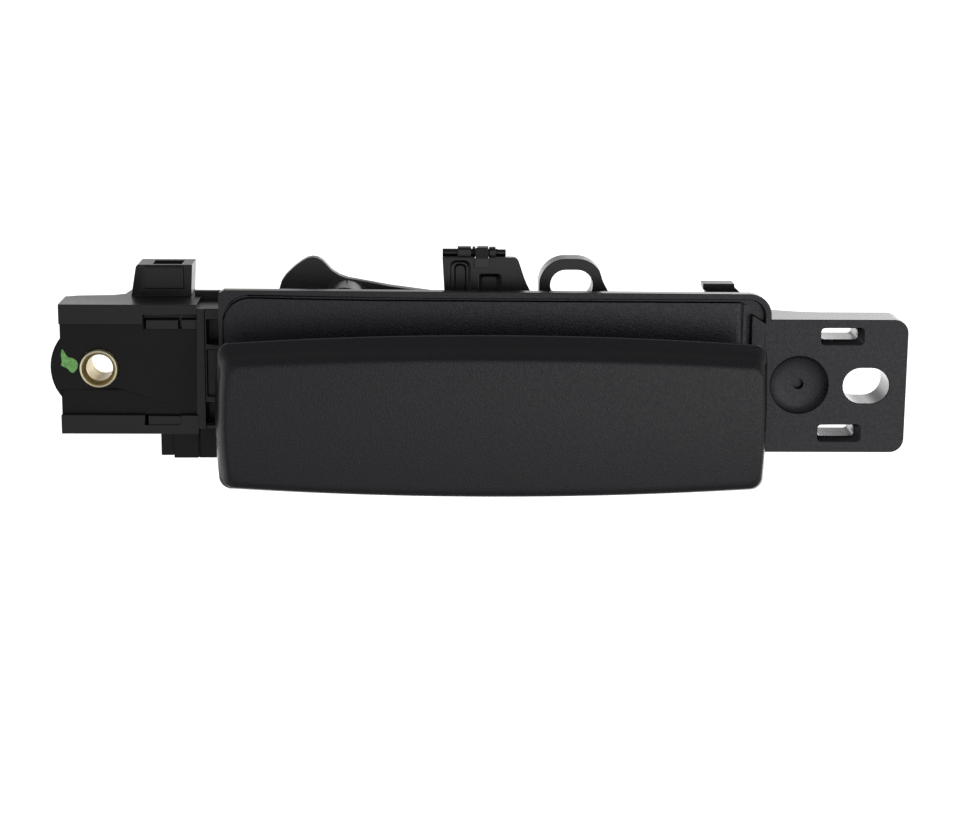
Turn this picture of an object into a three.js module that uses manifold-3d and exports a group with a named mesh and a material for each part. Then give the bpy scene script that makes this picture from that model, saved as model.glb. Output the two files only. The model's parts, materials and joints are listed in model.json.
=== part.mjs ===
// Flap-type outside door handle: a textured bezel with a finger pocket and a fixing tab, a smooth carrier
// behind it, a hinged paddle, and the bell crank and side-impact lever that the carrier holds.
// Millimetres, +Z up, +X to the right seen from outside, +Y into the door. The origin is on the axis of the
// brass sleeve, at the plane that seats on the door.
import * as THREE from "three";
import { mergeVertices } from "three/addons/utils/BufferGeometryUtils.js";
import Module from "manifold-3d";

const wasm = await Module();
wasm.setup();

// ---------------------------------------------------------------- driving dimensions
const GAP = 0.3; // between pieces that touch
const BEZEL_Y = -24.4; // front of the bezel's rim and of the tab
const PANEL_Y = -23.3; // front of the recessed pocket panel
const PANEL_BACK_Y = -21.5;
const RIM = { x0: 30.6, x1: 162.85, z0: -21.0, z1: 21.5, rTL: 1.6, rTR: 5.3, rB: 6.0 };
const RIM_BACK_Y = -22.2;
const LIP = 1.5;
const TAB = { x1: 196.0, z0: -17.65, z1: 15.0, r: 3.3, backY: -13.6, deepY: -8.8 };
const OBROUND = { x: 186.25, z: -1.15, half: 1.25, r: 4.36 };
const DISH = { x: 170.0, z: -1.0, r: 7.1, depth: 1.3 };
const TUB = { x0: 41.6, x1: 150.4, z0: -17.0, z1: 9.0, floorY: -9.0, wall: 1.5 };
const BRACKET = { x0: -9.5, x1: 24.1, z0: -16.25, z1: 15.95, y0: -12.4, y1: 0 };
const SLEEVE = { r: 4.65, bore: 3.25, y0: -12.7, y1: 0 };
const BOSS_R = 12.0;
const SHELF = { x0: 37.0, x1: 156.4, z0: 16.2, z1: 17.8, y0: -20.8, y1: -5.2 };
const PLATE_Y0 = -7.0; // carrier's back plate
const PLATE_Y1 = -5.2;
const HINGE = { y: -15.0, z: 5.3 }; // paddle hinge axis, along X
const ARM_X = [44.4, 48.4]; // left hinge arm
const ARM_X_R = [143.6, 147.6]; // right hinge arm
const FINGER_X = [85.4, 88.3]; // transfer arm
const CRANK = { x: 60.7, z: 15.8, y0: -3.4, y1: 0.2, hubR: 5.0, hubY: -15.6, bore: 2.25 };
const CRANK_PIN_R = 2.0;
const CLIP_AT = { x: 55.0, z: -6.0 }; // rod clip on the crank's output arm
const CROSS = { y: -10.4, z: 28.8, r: 1.0 }; // side-impact lever's pin, along X
const BLOCK_Y0 = -14.4;
const BLOCK_Y1 = -12.1;
const EYE = { x: 115.45, z: 21.2, half: 1.45, rIn: 3.75, rOut: 6.45, y0: -12.4, y1: -5.4 };
const SCREWS = [
  [35.8, 13.4],
  [35.8, -14.0],
  [156.7, 13.4],
  [156.7, -14.0],
];

// ---------------------------------------------------------------- solids
function solid(geometry) {
  const g = geometry.index ? geometry.clone() : geometry.clone();
  g.deleteAttribute("normal");
  g.deleteAttribute("uv");
  const m = mergeVertices(g, 1e-4);
  const p = m.attributes.position.array;
  const idx = [];
  const src = m.index.array;
  for (let i = 0; i < src.length; i += 3)
    if (src[i] !== src[i + 1] && src[i + 1] !== src[i + 2] && src[i] !== src[i + 2])
      idx.push(src[i], src[i + 1], src[i + 2]);
  const build = (tri) =>
    new wasm.Manifold(
      new wasm.Mesh({ numProp: 3, vertProperties: new Float32Array(p), triVerts: new Uint32Array(tri) }),
    );
  const s = build(idx);
  if (s.volume() >= 0) return s;
  for (let i = 0; i < idx.length; i += 3) [idx[i + 1], idx[i + 2]] = [idx[i + 2], idx[i + 1]];
  return build(idx);
}
const join = (...s) => s.flat().reduce((a, b) => a.add(b));
const cut = (s, ...tools) => tools.flat().reduce((a, b) => a.subtract(b), s);

function box(x0, x1, y0, y1, z0, z1) {
  const g = new THREE.BoxGeometry(x1 - x0, y1 - y0, z1 - z0);
  g.translate((x0 + x1) / 2, (y0 + y1) / 2, (z0 + z1) / 2);
  return solid(g);
}
function shapeOf(points, holes = []) {
  const s = new THREE.Shape(points.map(([a, b]) => new THREE.Vector2(a, b)));
  for (const h of holes) s.holes.push(new THREE.Path(h.map(([a, b]) => new THREE.Vector2(a, b))));
  return s;
}
// Outline in X and Z, between two depths.
function prismY(points, y0, y1, holes = []) {
  const g = new THREE.ExtrudeGeometry(shapeOf(points, holes), { depth: y1 - y0, bevelEnabled: false });
  g.rotateX(Math.PI / 2);
  g.translate(0, y1, 0);
  return solid(g);
}
// Outline in Y and Z, between two X positions.
function prismX(points, x0, x1) {
  const g = new THREE.ExtrudeGeometry(shapeOf(points), { depth: x1 - x0, bevelEnabled: false });
  g.applyMatrix4(
    new THREE.Matrix4().makeBasis(
      new THREE.Vector3(0, 1, 0),
      new THREE.Vector3(0, 0, 1),
      new THREE.Vector3(1, 0, 0),
    ),
  );
  g.translate(x0, 0, 0);
  return solid(g);
}
// Outline in X and Y, between two heights.
function prismZ(points, z0, z1) {
  const g = new THREE.ExtrudeGeometry(shapeOf(points), { depth: z1 - z0, bevelEnabled: false });
  g.translate(0, 0, z0);
  return solid(g);
}
function cylY(x, z, r, y0, y1, n = 24, r2 = r) {
  const g = new THREE.CylinderGeometry(r2, r, y1 - y0, n);
  g.translate(x, (y0 + y1) / 2, z);
  return solid(g);
}
function cylX(y, z, r, x0, x1, n = 24, r2 = r) {
  const g = new THREE.CylinderGeometry(r2, r, x1 - x0, n);
  g.rotateZ(-Math.PI / 2);
  g.translate((x0 + x1) / 2, y, z);
  return solid(g);
}
function cylZ(x, y, r, z0, z1, n = 24) {
  const g = new THREE.CylinderGeometry(r, r, z1 - z0, n);
  g.rotateX(Math.PI / 2);
  g.translate(x, y, (z0 + z1) / 2);
  return solid(g);
}
// Closed profile of [radius, y] turned about a Y axis through (x, z).
function latheY(profile, x, z, n = 48) {
  const g = new THREE.LatheGeometry(
    profile.map(([r, y]) => new THREE.Vector2(r, y)),
    n,
  );
  g.translate(x, 0, z);
  return solid(g);
}
function arc(cx, cz, r, a0, a1, n) {
  const out = [];
  for (let i = 0; i <= n; i++) {
    const a = ((a0 + ((a1 - a0) * i) / n) * Math.PI) / 180;
    out.push([cx + r * Math.cos(a), cz + r * Math.sin(a)]);
  }
  return out;
}
// Rectangle with corner radii [bottom left, bottom right, top right, top left].
function rrect(x0, x1, z0, z1, r, n = 5) {
  const [a, b, c, d] = Array.isArray(r) ? r : [r, r, r, r];
  return [
    ...(a ? arc(x0 + a, z0 + a, a, 180, 270, n) : [[x0, z0]]),
    ...(b ? arc(x1 - b, z0 + b, b, 270, 360, n) : [[x1, z0]]),
    ...(c ? arc(x1 - c, z1 - c, c, 0, 90, n) : [[x1, z1]]),
    ...(d ? arc(x0 + d, z1 - d, d, 90, 180, n) : [[x0, z1]]),
  ];
}
function obround(x, z, half, r, n = 12) {
  return [...arc(x + half, z, r, -90, 90, n), ...arc(x - half, z, r, 90, 270, n)];
}
// Rings of equal length joined one to the next, with a fan to a point at each end.
function loft(rings, first, last) {
  const v = [];
  const t = [];
  const n = rings[0].length;
  for (const r of rings) for (const p of r) v.push(...p);
  for (let k = 0; k + 1 < rings.length; k++)
    for (let i = 0; i < n; i++) {
      const a = k * n + i,
        b = k * n + ((i + 1) % n),
        c = a + n,
        d = b + n;
      t.push(a, b, d, a, d, c);
    }
  const f = v.length / 3;
  v.push(...first);
  const l = v.length / 3;
  v.push(...last);
  const top = (rings.length - 1) * n;
  for (let i = 0; i < n; i++) {
    t.push(f, (i + 1) % n, i);
    t.push(l, top + i, top + ((i + 1) % n));
  }
  const g = new THREE.BufferGeometry();
  g.setAttribute("position", new THREE.BufferAttribute(new Float32Array(v), 3));
  g.setIndex(t);
  return solid(g);
}
// Round wire along points, with a closed end cap at both ends.
function wire(points, r, steps, sides = 8) {
  const curve = new THREE.CatmullRomCurve3(points.map((p) => new THREE.Vector3(...p)), false, "centripetal");
  const section = new THREE.Shape(
    Array.from({ length: sides }, (_, i) => {
      const a = (2 * Math.PI * i) / sides;
      return new THREE.Vector2(r * Math.cos(a), r * Math.sin(a));
    }),
  );
  return solid(new THREE.ExtrudeGeometry(section, { steps, extrudePath: curve, bevelEnabled: false }));
}

const group = new THREE.Group();
group.name = "door_handle";
function add(name, s, color, roughness, metalness) {
  const m = s.getMesh();
  const n = m.numProp;
  const p = new Float32Array(m.numVert * 3);
  for (let i = 0; i < m.numVert; i++) p.set(m.vertProperties.subarray(i * n, i * n + 3), i * 3);
  const g = new THREE.BufferGeometry();
  g.setAttribute("position", new THREE.BufferAttribute(p, 3));
  g.setIndex(new THREE.BufferAttribute(new Uint32Array(m.triVerts), 1));
  g.computeVertexNormals();
  const mesh = new THREE.Mesh(
    g,
    new THREE.MeshStandardMaterial({ color, roughness, metalness, flatShading: true }),
  );
  mesh.name = name;
  group.add(mesh);
  return mesh;
}
const TEXTURED = 0x2c2b30;
const SMOOTH = 0x1b1b1d;
const ACETAL = 0x26262a;
const STEEL = 0x8d9096;
const BRASS = 0xc8a85a;
const RUBBER = 0x141414;
const ZINC = 0x7d7f83;

// ---------------------------------------------------------------- bezel
{
  // The long top edge falls a little to the right, and its lip narrows the groove at the left.
  const topOf = (x) => RIM.z1 + 0.1 - 0.0038 * (x - RIM.x0);
  const lipOf = (x) => 19.7 + 0.7 * (Math.max(0, 100 - x) / 62) ** 2;
  const panelOf = (x) => 18.85 + 0.72 * (Math.max(0, 100 - x) / 62) ** 2;
  const outline = (x0, x1, z0, z1, [a, b, c, d], top) => {
    const pts = [...arc(x0 + a, z0 + a, a, 180, 270, 7), ...arc(x1 - b, z0 + b, b, 270, 360, 7)];
    pts.push(...arc(x1 - c, z1 - c, c, 0, 90, 9));
    for (let i = 1; i < 12; i++) pts.push([x1 - c + ((x0 + d - x1 + c) * i) / 12, z1]);
    pts.push(...(d > 0.05 ? arc(x0 + d, z1 - d, d, 90, 180, 9) : [[x0, z1]]));
    return pts.map(([x, z]) => {
      const w = Math.min(1, Math.max(0, (z - 8) / (z1 - d * 0.3 - 8)));
      return [x, z + w * (top(x) - z1)];
    });
  };
  const rim = outline(RIM.x0, RIM.x1, RIM.z0, RIM.z1, [RIM.rB, RIM.rB, RIM.rTR, RIM.rTL], topOf);
  const lipIn = outline(
    RIM.x0 + 1.0,
    RIM.x1 - LIP,
    RIM.z0 + 1.1,
    19.7,
    [RIM.rB - 1, RIM.rB - 1, RIM.rTR - 1.3, 6.6],
    lipOf,
  );
  let s = prismY(rim, BEZEL_Y, RIM_BACK_Y);
  // groove inside the lip, then the panel standing up in it
  s = cut(s, prismY(lipIn, BEZEL_Y - 1, PANEL_Y + 0.9));
  const panel = outline(RIM.x0 + 0.8, 157.9, RIM.z0 + 1.9, 18.85, [4.5, 3.0, 2.6, 6.9], panelOf);
  s = join(
    prismY(rim, PANEL_Y + 0.7, PANEL_BACK_Y), // base plate
    s,
    prismY(panel, PANEL_Y, PANEL_Y + 1.0),
  );
  // The panel's right end curves back before the flush land.
  s = cut(
    s,
    prismZ(
      [
        [153.4, PANEL_Y - 0.1],
        [154.9, PANEL_Y + 0.04],
        [156.2, PANEL_Y + 0.24],
        [157.3, PANEL_Y + 0.5],
        [158.2, PANEL_Y + 0.62],
        [158.5, PANEL_Y + 0.62],
        [158.5, PANEL_Y - 0.1],
      ],
      -24,
      18.9,
    ),
  );
  // Right of the pocket the face is flush with the tab; its upper end falls away under the lip.
  s = join(
    s,
    prismY(
      [
        [158.1, RIM.z0 + 3],
        [162.0, RIM.z0 + 3],
        [162.6, TAB.z0],
        [162.6, 13.4],
        [161.6, 13.9],
        [160.4, 14.7],
        [159.2, 15.5],
        [158.1, 16.0],
      ],
      BEZEL_Y,
      PANEL_BACK_Y,
    ),
  );
  // skirt behind the rim
  const skO = rrect(RIM.x0 + 1.2, RIM.x1 - 1.4, RIM.z0 + 1.2, 19.6, [5, 5, 4.5, 6.5], 5);
  const skI = rrect(RIM.x0 + 2.7, RIM.x1 - 2.9, RIM.z0 + 2.7, 18.1, [3.5, 3.5, 3, 5], 5);
  s = join(s, prismY(skO, -21.6, -16.2, [skI.slice().reverse()]));
  // tab
  const tabOut = rrect(161.5, TAB.x1, TAB.z0, TAB.z1, [0, TAB.r, TAB.r, 0], 6);
  s = join(s, prismY(tabOut, BEZEL_Y, TAB.backY));
  // its back slopes deeper towards the pocket
  s = join(
    s,
    prismZ(
      [
        [160.2, -21.6],
        [176.6, -21.6],
        [176.6, TAB.backY],
        [173.0, -13.1],
        [170.0, -12.35],
        [167.5, -11.35],
        [165.0, -10.1],
        [163.2, TAB.deepY],
        [160.2, TAB.deepY],
      ],
      TAB.z0,
      TAB.z1,
    ),
  );
  // cores at the back of the tab
  s = cut(
    s,
    box(163.3, 173.0, -21.4, TAB.deepY + 1, 7.4, TAB.z1 - 1.8),
    box(163.3, 173.0, -21.4, TAB.deepY + 1, TAB.z0 + 1.8, -9.2),
    box(187.2, TAB.x1 - 1.9, -21.6, TAB.backY + 1, 8.6, TAB.z1 - 1.9),
    box(187.2, TAB.x1 - 1.9, -21.6, TAB.backY + 1, TAB.z0 + 1.9, -11.9),
    box(163.3, 168.6, -20.6, TAB.deepY + 1, -7.8, 6.0),
    box(170.0, 176.2, -20.6, TAB.deepY + 1, -7.8, 6.0),
  );
  // frame round the back of the obround hole, back to the seating plane
  s = join(
    s,
    prismY(rrect(177.2, 196.0, -10.6, 7.4, 3.2, 5), BEZEL_Y + 1, 0),
  );
  s = cut(
    s,
    prismY(obround(OBROUND.x, OBROUND.z, OBROUND.half, OBROUND.r, 14), BEZEL_Y - 1, 1),
    prismY(rrect(180.2, 194.8, -9.2, 4.0, 1.6, 4), TAB.backY, 1),
  );
  for (const [z0, z1] of [
    [8.85, 12.95],
    [-15.0, -10.8],
  ]) {
    s = cut(s, prismY(rrect(174.95, 183.95, z0 + 1.15, z1, 0.9, 3), BEZEL_Y - 1, TAB.backY + 1));
    // chamfer on the right and bottom of the slot's mouth
    s = cut(
      s,
      loftRect(
        [174.95, 185.35, z0 - 0.05, z1, BEZEL_Y - 0.01],
        [174.95, 183.95, z0 + 1.15, z1, BEZEL_Y + 1.3],
        0.9,
      ),
    );
  }
  // round dish with the moulding gate's mark
  s = cut(
    s,
    latheY(
      [
        [0, BEZEL_Y - 0.5],
        [DISH.r, BEZEL_Y - 0.5],
        [DISH.r, BEZEL_Y],
        [DISH.r - 0.25, BEZEL_Y + 0.45],
        [DISH.r - 0.8, BEZEL_Y + 0.85],
        [DISH.r - 1.9, BEZEL_Y + 1.15],
        [DISH.r - 3.6, BEZEL_Y + DISH.depth],
        [1.3, BEZEL_Y + DISH.depth + 0.05],
        [1.05, BEZEL_Y + DISH.depth + 1.5],
        [0, BEZEL_Y + DISH.depth + 1.5],
      ],
      DISH.x,
      DISH.z,
      40,
    ),
  );
  // finger pocket
  const w = TUB.wall;
  s = join(
    s,
    prismY(
      rrect(TUB.x0 - w, TUB.x1 + w, TUB.z0 - w, TUB.z1 + w, [4, 4, 2, 2], 5),
      PANEL_BACK_Y - 0.2,
      TUB.floorY + w,
    ),
  );
  s = cut(
    s,
    prismY(rrect(TUB.x0, TUB.x1, TUB.z0, TUB.z1, [2.6, 2.6, 0.8, 0.8], 5), BEZEL_Y - 1, TUB.floorY),
  );
  // webs that carry the inner ends of the hinge pins
  for (const [a, b] of [
    [56.2, 57.9],
    [134.1, 135.8],
  ])
    s = join(
      s,
      prismX(
        [
          [-19.2, 9.4],
          [-19.2, 4.8],
          [-17.6, 2.2],
          [-15.0, 1.2],
          [-8.6, -1.6],
          [-8.6, 9.4],
        ],
        a,
        b,
      ),
    );
  s = cut(s, cylX(HINGE.y, HINGE.z, 1.8, 39, 60, 24), cylX(HINGE.y, HINGE.z, 1.8, 132, 154, 24));
  // bosses for the case screws
  for (const [x, z] of SCREWS) {
    s = join(s, cylY(x, z, 2.7, PANEL_BACK_Y - 0.2, PLATE_Y0 - GAP, 20));
    s = cut(s, cylY(x, z, 1.35, -16.5, -5, 12));
  }
  // holes for the bump stops, opening for the transfer arm
  s = cut(
    s,
    cylY(36.6, -9.5, 1.5, -25, -20, 12),
    cylY(155.2, -9.5, 1.5, -25, -20, 12),
    box(FINGER_X[0] - 1.0, FINGER_X[1] + 1.0, -17.5, -4, 3.2, 20),
  );
  add("bezel", s, TEXTURED, 0.62, 0);
}

// A rectangular hole's mouth, from one rectangle to another further in: [x0, x1, z0, z1, y].
function loftRect(a, b, r) {
  const ring = ([x0, x1, z0, z1, y]) => rrect(x0, x1, z0, z1, r, 3).map(([x, z]) => [x, y, z]);
  const mid = ([x0, x1, z0, z1, y]) => [(x0 + x1) / 2, y, (z0 + z1) / 2];
  return loft([ring(a), ring(b)], mid(a), mid(b));
}

// A recess in the centre block's front with sloping sides: its mouth and its floor as [x0, x1, z0, z1].
function drafted(mouth, floor, r, depth) {
  return loftRect([...mouth, BLOCK_Y0 - 0.01], [...floor, BLOCK_Y0 + depth], r);
}

// ---------------------------------------------------------------- carrier
{
  const B = BRACKET;
  // left bracket, with the round end about the sleeve
  let s = join(
    box(B.x0, B.x1, B.y0, B.y1, B.z0, B.z1),
    cylY(0, 0, BOSS_R, B.y0 + 0.4, B.y1, 56),
  );
  // recessed front between two flanges
  s = cut(
    s,
    box(B.x0 - 4, B.x1 + 0.01, B.y0 - 1, B.y0 + 1.5, -11.5, 11.0),
    prismZ(
      [
        [-14, B.y0 - 1],
        [5.5, B.y0 - 1],
        [5.5, B.y0 + 1.5],
        [-8.5, B.y0 + 1.68],
        [-14, B.y0 + 1.68],
      ],
      -11.5,
      -5.5,
    ),
  );
  // back cores
  const cores = join(
    box(10.9, 16.4, -8.4, 1, -14.1, 13.9),
    box(17.9, 22.2, -8.4, 1, -13.6, 13.9),
    box(-7.4, 9.9, -8.4, 1, 9.4, 13.9),
    box(-7.4, 9.9, -8.4, 1, -13.6, -9.4),
    box(7.6, 9.9, -8.4, 1, -8, 8),
  );
  s = cut(s, cores.subtract(cylY(0, 0, 9.0, -10, 2, 40)));
  // top of the bracket carried back under the tower
  s = join(
    s,
    prismZ(
      [
        [22.5, -1],
        [22.5, 8],
        [22.5, 10.8],
        [5.6, 10.8],
        [4.8, 4.0],
        [2.0, 2.2],
        [-6.6, 1.2],
        [-9.3, -0.3],
        [-9.3, -1],
      ],
      13.9,
      B.z1,
    ),
  );
  // clip tower
  s = join(
    s,
    prismY(
      [
        [6.5, 15],
        [21.5, 15],
        [21.9, 23.8],
        [8.4, 23.8],
        [7.9, 23.3],
      ],
      0.8,
      10.8,
    ),
    box(10.15, 19.8, 0.3, 1.0, 17.9, 23.3),
  );
  s = cut(s, box(11.9, 19.2, 2.1, 8.4, 11, 25));
  // slots and bars where the cover's tongues go in, each bar with a sloped left end
  s = cut(
    s,
    box(11.0, 24.2, B.y0 - 1, B.y0 + 3.2, 9.8, 13.4),
    box(11.1, 19.8, B.y0 - 1, B.y0 + 2.4, -14.05, -11.4),
  );
  s = join(
    s,
    box(11.75, 19.6, B.y0 + 0.75, B.y0 + 4.5, 9.75, 12.1),
    box(20.3, 24.1, B.y0 + 0.9, B.y0 + 4, 9.75, 12.1),
    box(11.85, 19.9, B.y0 + 0.5, B.y0 + 4.5, -14.1, -11.8),
    prismZ(
      [
        [10.9, -9.8],
        [11.8, -11.65],
        [12.4, -11.65],
        [12.4, -8.9],
        [10.9, -8.9],
      ],
      9.75,
      12.1,
    ),
    prismZ(
      [
        [11.0, -10.1],
        [11.9, -11.9],
        [12.4, -11.9],
        [12.4, -9.4],
        [11.0, -9.4],
      ],
      -14.1,
      -11.8,
    ),
  );
  // neck to the right, its stepped front and its deep holes
  s = join(
    s,
    box(23.9, 32.6, -11.4, 2.2, -15.2, 14.9),
    box(23.96, 26.0, -12.0, -11, -15.2, 14.9),
    box(22.3, 32.6, 2.0, 4.0, -15.2, 17.1),
    box(22.3, 32.6, -1, 4.0, 13.9, 14.9),
  );
  s = cut(
    s,
    box(26.3, 29.6, -12.5, -3.5, 5.9, 12.1),
    box(26.0, 29.4, -12.5, -3.5, -14.2, -8.6),
    box(26.3, 30.2, -12.5, -9.8, -7.2, 4.6),
    box(25.6, 31.0, -3.0, 5, -13.4, 12.6), // core from the back
  );
  // feet
  s = join(
    s,
    prismZ(
      [
        [14.8, -2.4],
        [14.8, -12.0],
        [17.6, -12.0],
        [18.2, -11.5],
        [18.6, -11.5],
        [18.6, -2.4],
      ],
      -21.75,
      -14,
    ),
    prismZ(
      [
        [17.9, -2.4],
        [17.9, -11.65],
        [23.7, -11.65],
        [24.2, -10.9],
        [24.2, -2.4],
      ],
      -22.5,
      -14,
    ),
    box(24.1, 28.3, -10.4, -2.4, -22.75, -14),
  );
  s = cut(s, box(18.9, 22.9, -10.2, -2, -21.4, -17.2), box(24.7, 27.2, -8, -2, -21.6, -17.2));
  // shelf and back plate
  s = join(
    s,
    box(SHELF.x0, SHELF.x1, SHELF.y0, SHELF.y1, SHELF.z0, SHELF.z1),
    prismY(rrect(31, 159.4, -18.6, SHELF.z1, [3, 3, 0, 0], 4), PLATE_Y0, PLATE_Y1),
    box(31, 32.6, PLATE_Y0, 3.9, 14.0, 17.1),
  );
  // ribs between the shelf and the plate, on the back
  for (const x of [40, 71.5, 104.8, 122.8, 138])
    s = join(
      s,
      prismX(
        [
          [-5.4, 16.3],
          [-5.4, -16.4],
          [-3.9, -14.4],
          [-3.9, 15.2],
        ],
        x,
        x + 1.4,
      ),
    );
  s = join(
    s,
    box(66.5, 152.4, -5.4, -3.9, 10.6, 12.0),
    box(66.5, 152.4, -5.4, -3.9, -14.6, -13.2),
  );
  // right foot behind the tab
  s = join(
    s,
    prismY(rrect(156, 174.4, -12.4, 10.4, [0, 3, 3, 0], 5), PLATE_Y0, PLATE_Y1),
    prismY(rrect(162.4, 174.4, -9.0, 7.0, 2.5, 5), PLATE_Y1 - 0.2, 0, [
      rrect(164.4, 172.4, -7.0, 5.0, 1.2, 3).reverse(),
    ]),
  );
  // windows in the back plate
  s = cut(
    s,
    prismY(rrect(75.5, 82.5, -10.5, 8.0, 1.5, 3), -8, -3),
    prismY(rrect(93.5, 102.8, -10.5, 8.0, 1.5, 3), -8, -3),
    prismY(rrect(108.5, 120.4, -10.5, 8.0, 1.5, 3), -8, -3),
    prismY(rrect(126.4, 136.0, -10.5, 8.0, 1.5, 3), -8, -3),
    prismY(rrect(141.6, 153.4, -10.5, 8.0, 1.5, 3), -8, -3),
  );
  // centre block: plate with a notch, two shallow recesses and cheeks for the cross pin
  s = join(
    s,
    prismY(
      [
        [84.65, 16.4],
        [106.6, 16.4],
        [105.4, 19.8],
        [104.5, 21.6],
        [103.8, 23.3],
        [102.5, 27.2],
        [102.1, 27.9],
        [101.4, 28.2],
        [95.2, 28.2],
        [95.2, 25.8],
        [91.85, 25.8],
        [91.85, 28.2],
        [83.95, 28.2],
      ],
      BLOCK_Y0,
      BLOCK_Y1,
    ),
    box(84.6, 85.15, BLOCK_Y0 + 2, -6.0, 16.4, 27.0),
    prismX(
      [
        [-12.5, 24.9],
        [-8.7, 24.9],
        [-8.8, 29.3],
        [-9.4, 30.2],
        [-10.4, 30.45],
        [-11.8, 30.3],
        [-12.4, 29.8],
      ],
      87.65,
      90.95,
    ),
    box(89.0, 90.95, -12.5, -8.7, 16.4, 25.0),
    prismX(
      [
        [-12.4, 16.4],
        [-8.6, 16.4],
        [-8.9, 29.2],
        [-9.6, 30.1],
        [-10.4, 30.35],
        [-11.6, 30.2],
        [-12.2, 29.6],
      ],
      95.35,
      96.9,
    ),
  );
  s = cut(
    s,
    cylX(CROSS.y, CROSS.z, CROSS.r + 0.2, 86, 99, 20),
    drafted([85.6, 90.75, 15.6, 27.5], [86.2, 90.2, 15.6, 27.05], 1.5, 0.35),
    drafted([86.5, 90.0, 15.6, 26.9], [87.2, 89.5, 15.6, 26.2], 1.0, 0.85),
    drafted([92.7, 98.2, 15.6, 24.2], [93.5, 97.2, 15.6, 23.5], 0.8, 0.7),
  );
  // eye
  const e = EYE;
  s = join(
    s,
    prismY(
      [
        [e.x - e.half - e.rOut, 16.4],
        ...arc(e.x - e.half, e.z, e.rOut, 180, 90, 12),
        ...arc(e.x + e.half, e.z, e.rOut, 90, 33, 8),
        [123.2, 22.0],
        [124.5, 19.6],
        [125.4, 16.4],
      ],
      e.y0,
      e.y1,
    ),
  );
  s = cut(s, prismY(obround(e.x, e.z, e.half, e.rIn, 12), e.y0 - 1, e.y1 + 1));
  // small catch at the right
  s = join(
    s,
    prismY(
      [
        [148.2, 16.4],
        [156.9, 16.4],
        [156.9, 19.4],
        [155.3, 20.9],
        [155.3, 21.7],
        [147.6, 21.7],
        [147.6, 20.2],
        [148.2, 20.2],
      ],
      -12.4,
      -10.6,
    ),
    box(147.6, 155.3, -12.4, -7.4, 20.4, 21.7),
  );
  // room for the crank's hub, its pin's bearing, and the transfer arm
  s = cut(
    s,
    box(CRANK.x - 7.3, CRANK.x + 6.6, -16.2, -3, 10.3, 20),
    box(FINGER_X[0] - 1.0, FINGER_X[1] + 1.0, -17.5, -3, 3.2, 18.5),
  );
  s = join(s, prismY(rrect(CRANK.x - 4.6, CRANK.x + 4.6, 11.0, SHELF.z1, [2.2, 2.2, 0, 0], 4), -20.6, -16.2));
  s = join(s, box(CRANK.x - 7.4, CRANK.x + 6.7, -20.8, -16.2, SHELF.z0, SHELF.z1));
  s = cut(s, cylY(CRANK.x, CRANK.z, CRANK_PIN_R + 0.15, -18.6, -15, 24));
  // holes: sleeve, case screws
  s = cut(s, cylY(0, 0, SLEEVE.r + 0.14, -14, 1, 64));
  for (const [x, z] of SCREWS) s = cut(s, cylY(x, z, 1.7, -8, -3, 16));
  add("carrier", s, SMOOTH, 0.4, 0);
}

// ---------------------------------------------------------------- brass sleeve
add(
  "mounting_sleeve",
  latheY(
    [
      [SLEEVE.bore, SLEEVE.y0 + 2.0],
      [SLEEVE.bore + 0.35, SLEEVE.y0 + 1.7],
      [SLEEVE.bore + 0.62, SLEEVE.y0 + 0.75],
      [SLEEVE.bore + 0.8, SLEEVE.y0 + 0.25],
      [SLEEVE.r - 0.42, SLEEVE.y0 + 0.02],
      [SLEEVE.r - 0.2, SLEEVE.y0],
      [SLEEVE.r - 0.04, SLEEVE.y0 + 0.15],
      [SLEEVE.r, SLEEVE.y0 + 0.45],
      [SLEEVE.r, SLEEVE.y1 - 0.3],
      [SLEEVE.r - 0.3, SLEEVE.y1],
      [SLEEVE.bore + 0.3, SLEEVE.y1],
      [SLEEVE.bore, SLEEVE.y1 - 0.3],
      [SLEEVE.bore, SLEEVE.y0 + 2.0],
    ],
    0,
    0,
    48,
  ),
  BRASS,
  0.25,
  1,
);

// ---------------------------------------------------------------- paddle
const PX = (30.6 + 160.5) / 2;
const PZ = -6.2;
const faceY = (x, z) => -42.7 + 0.8 * ((x - PX) / 65) ** 2 + 1.0 * ((z - PZ) / 17) ** 2;
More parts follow.
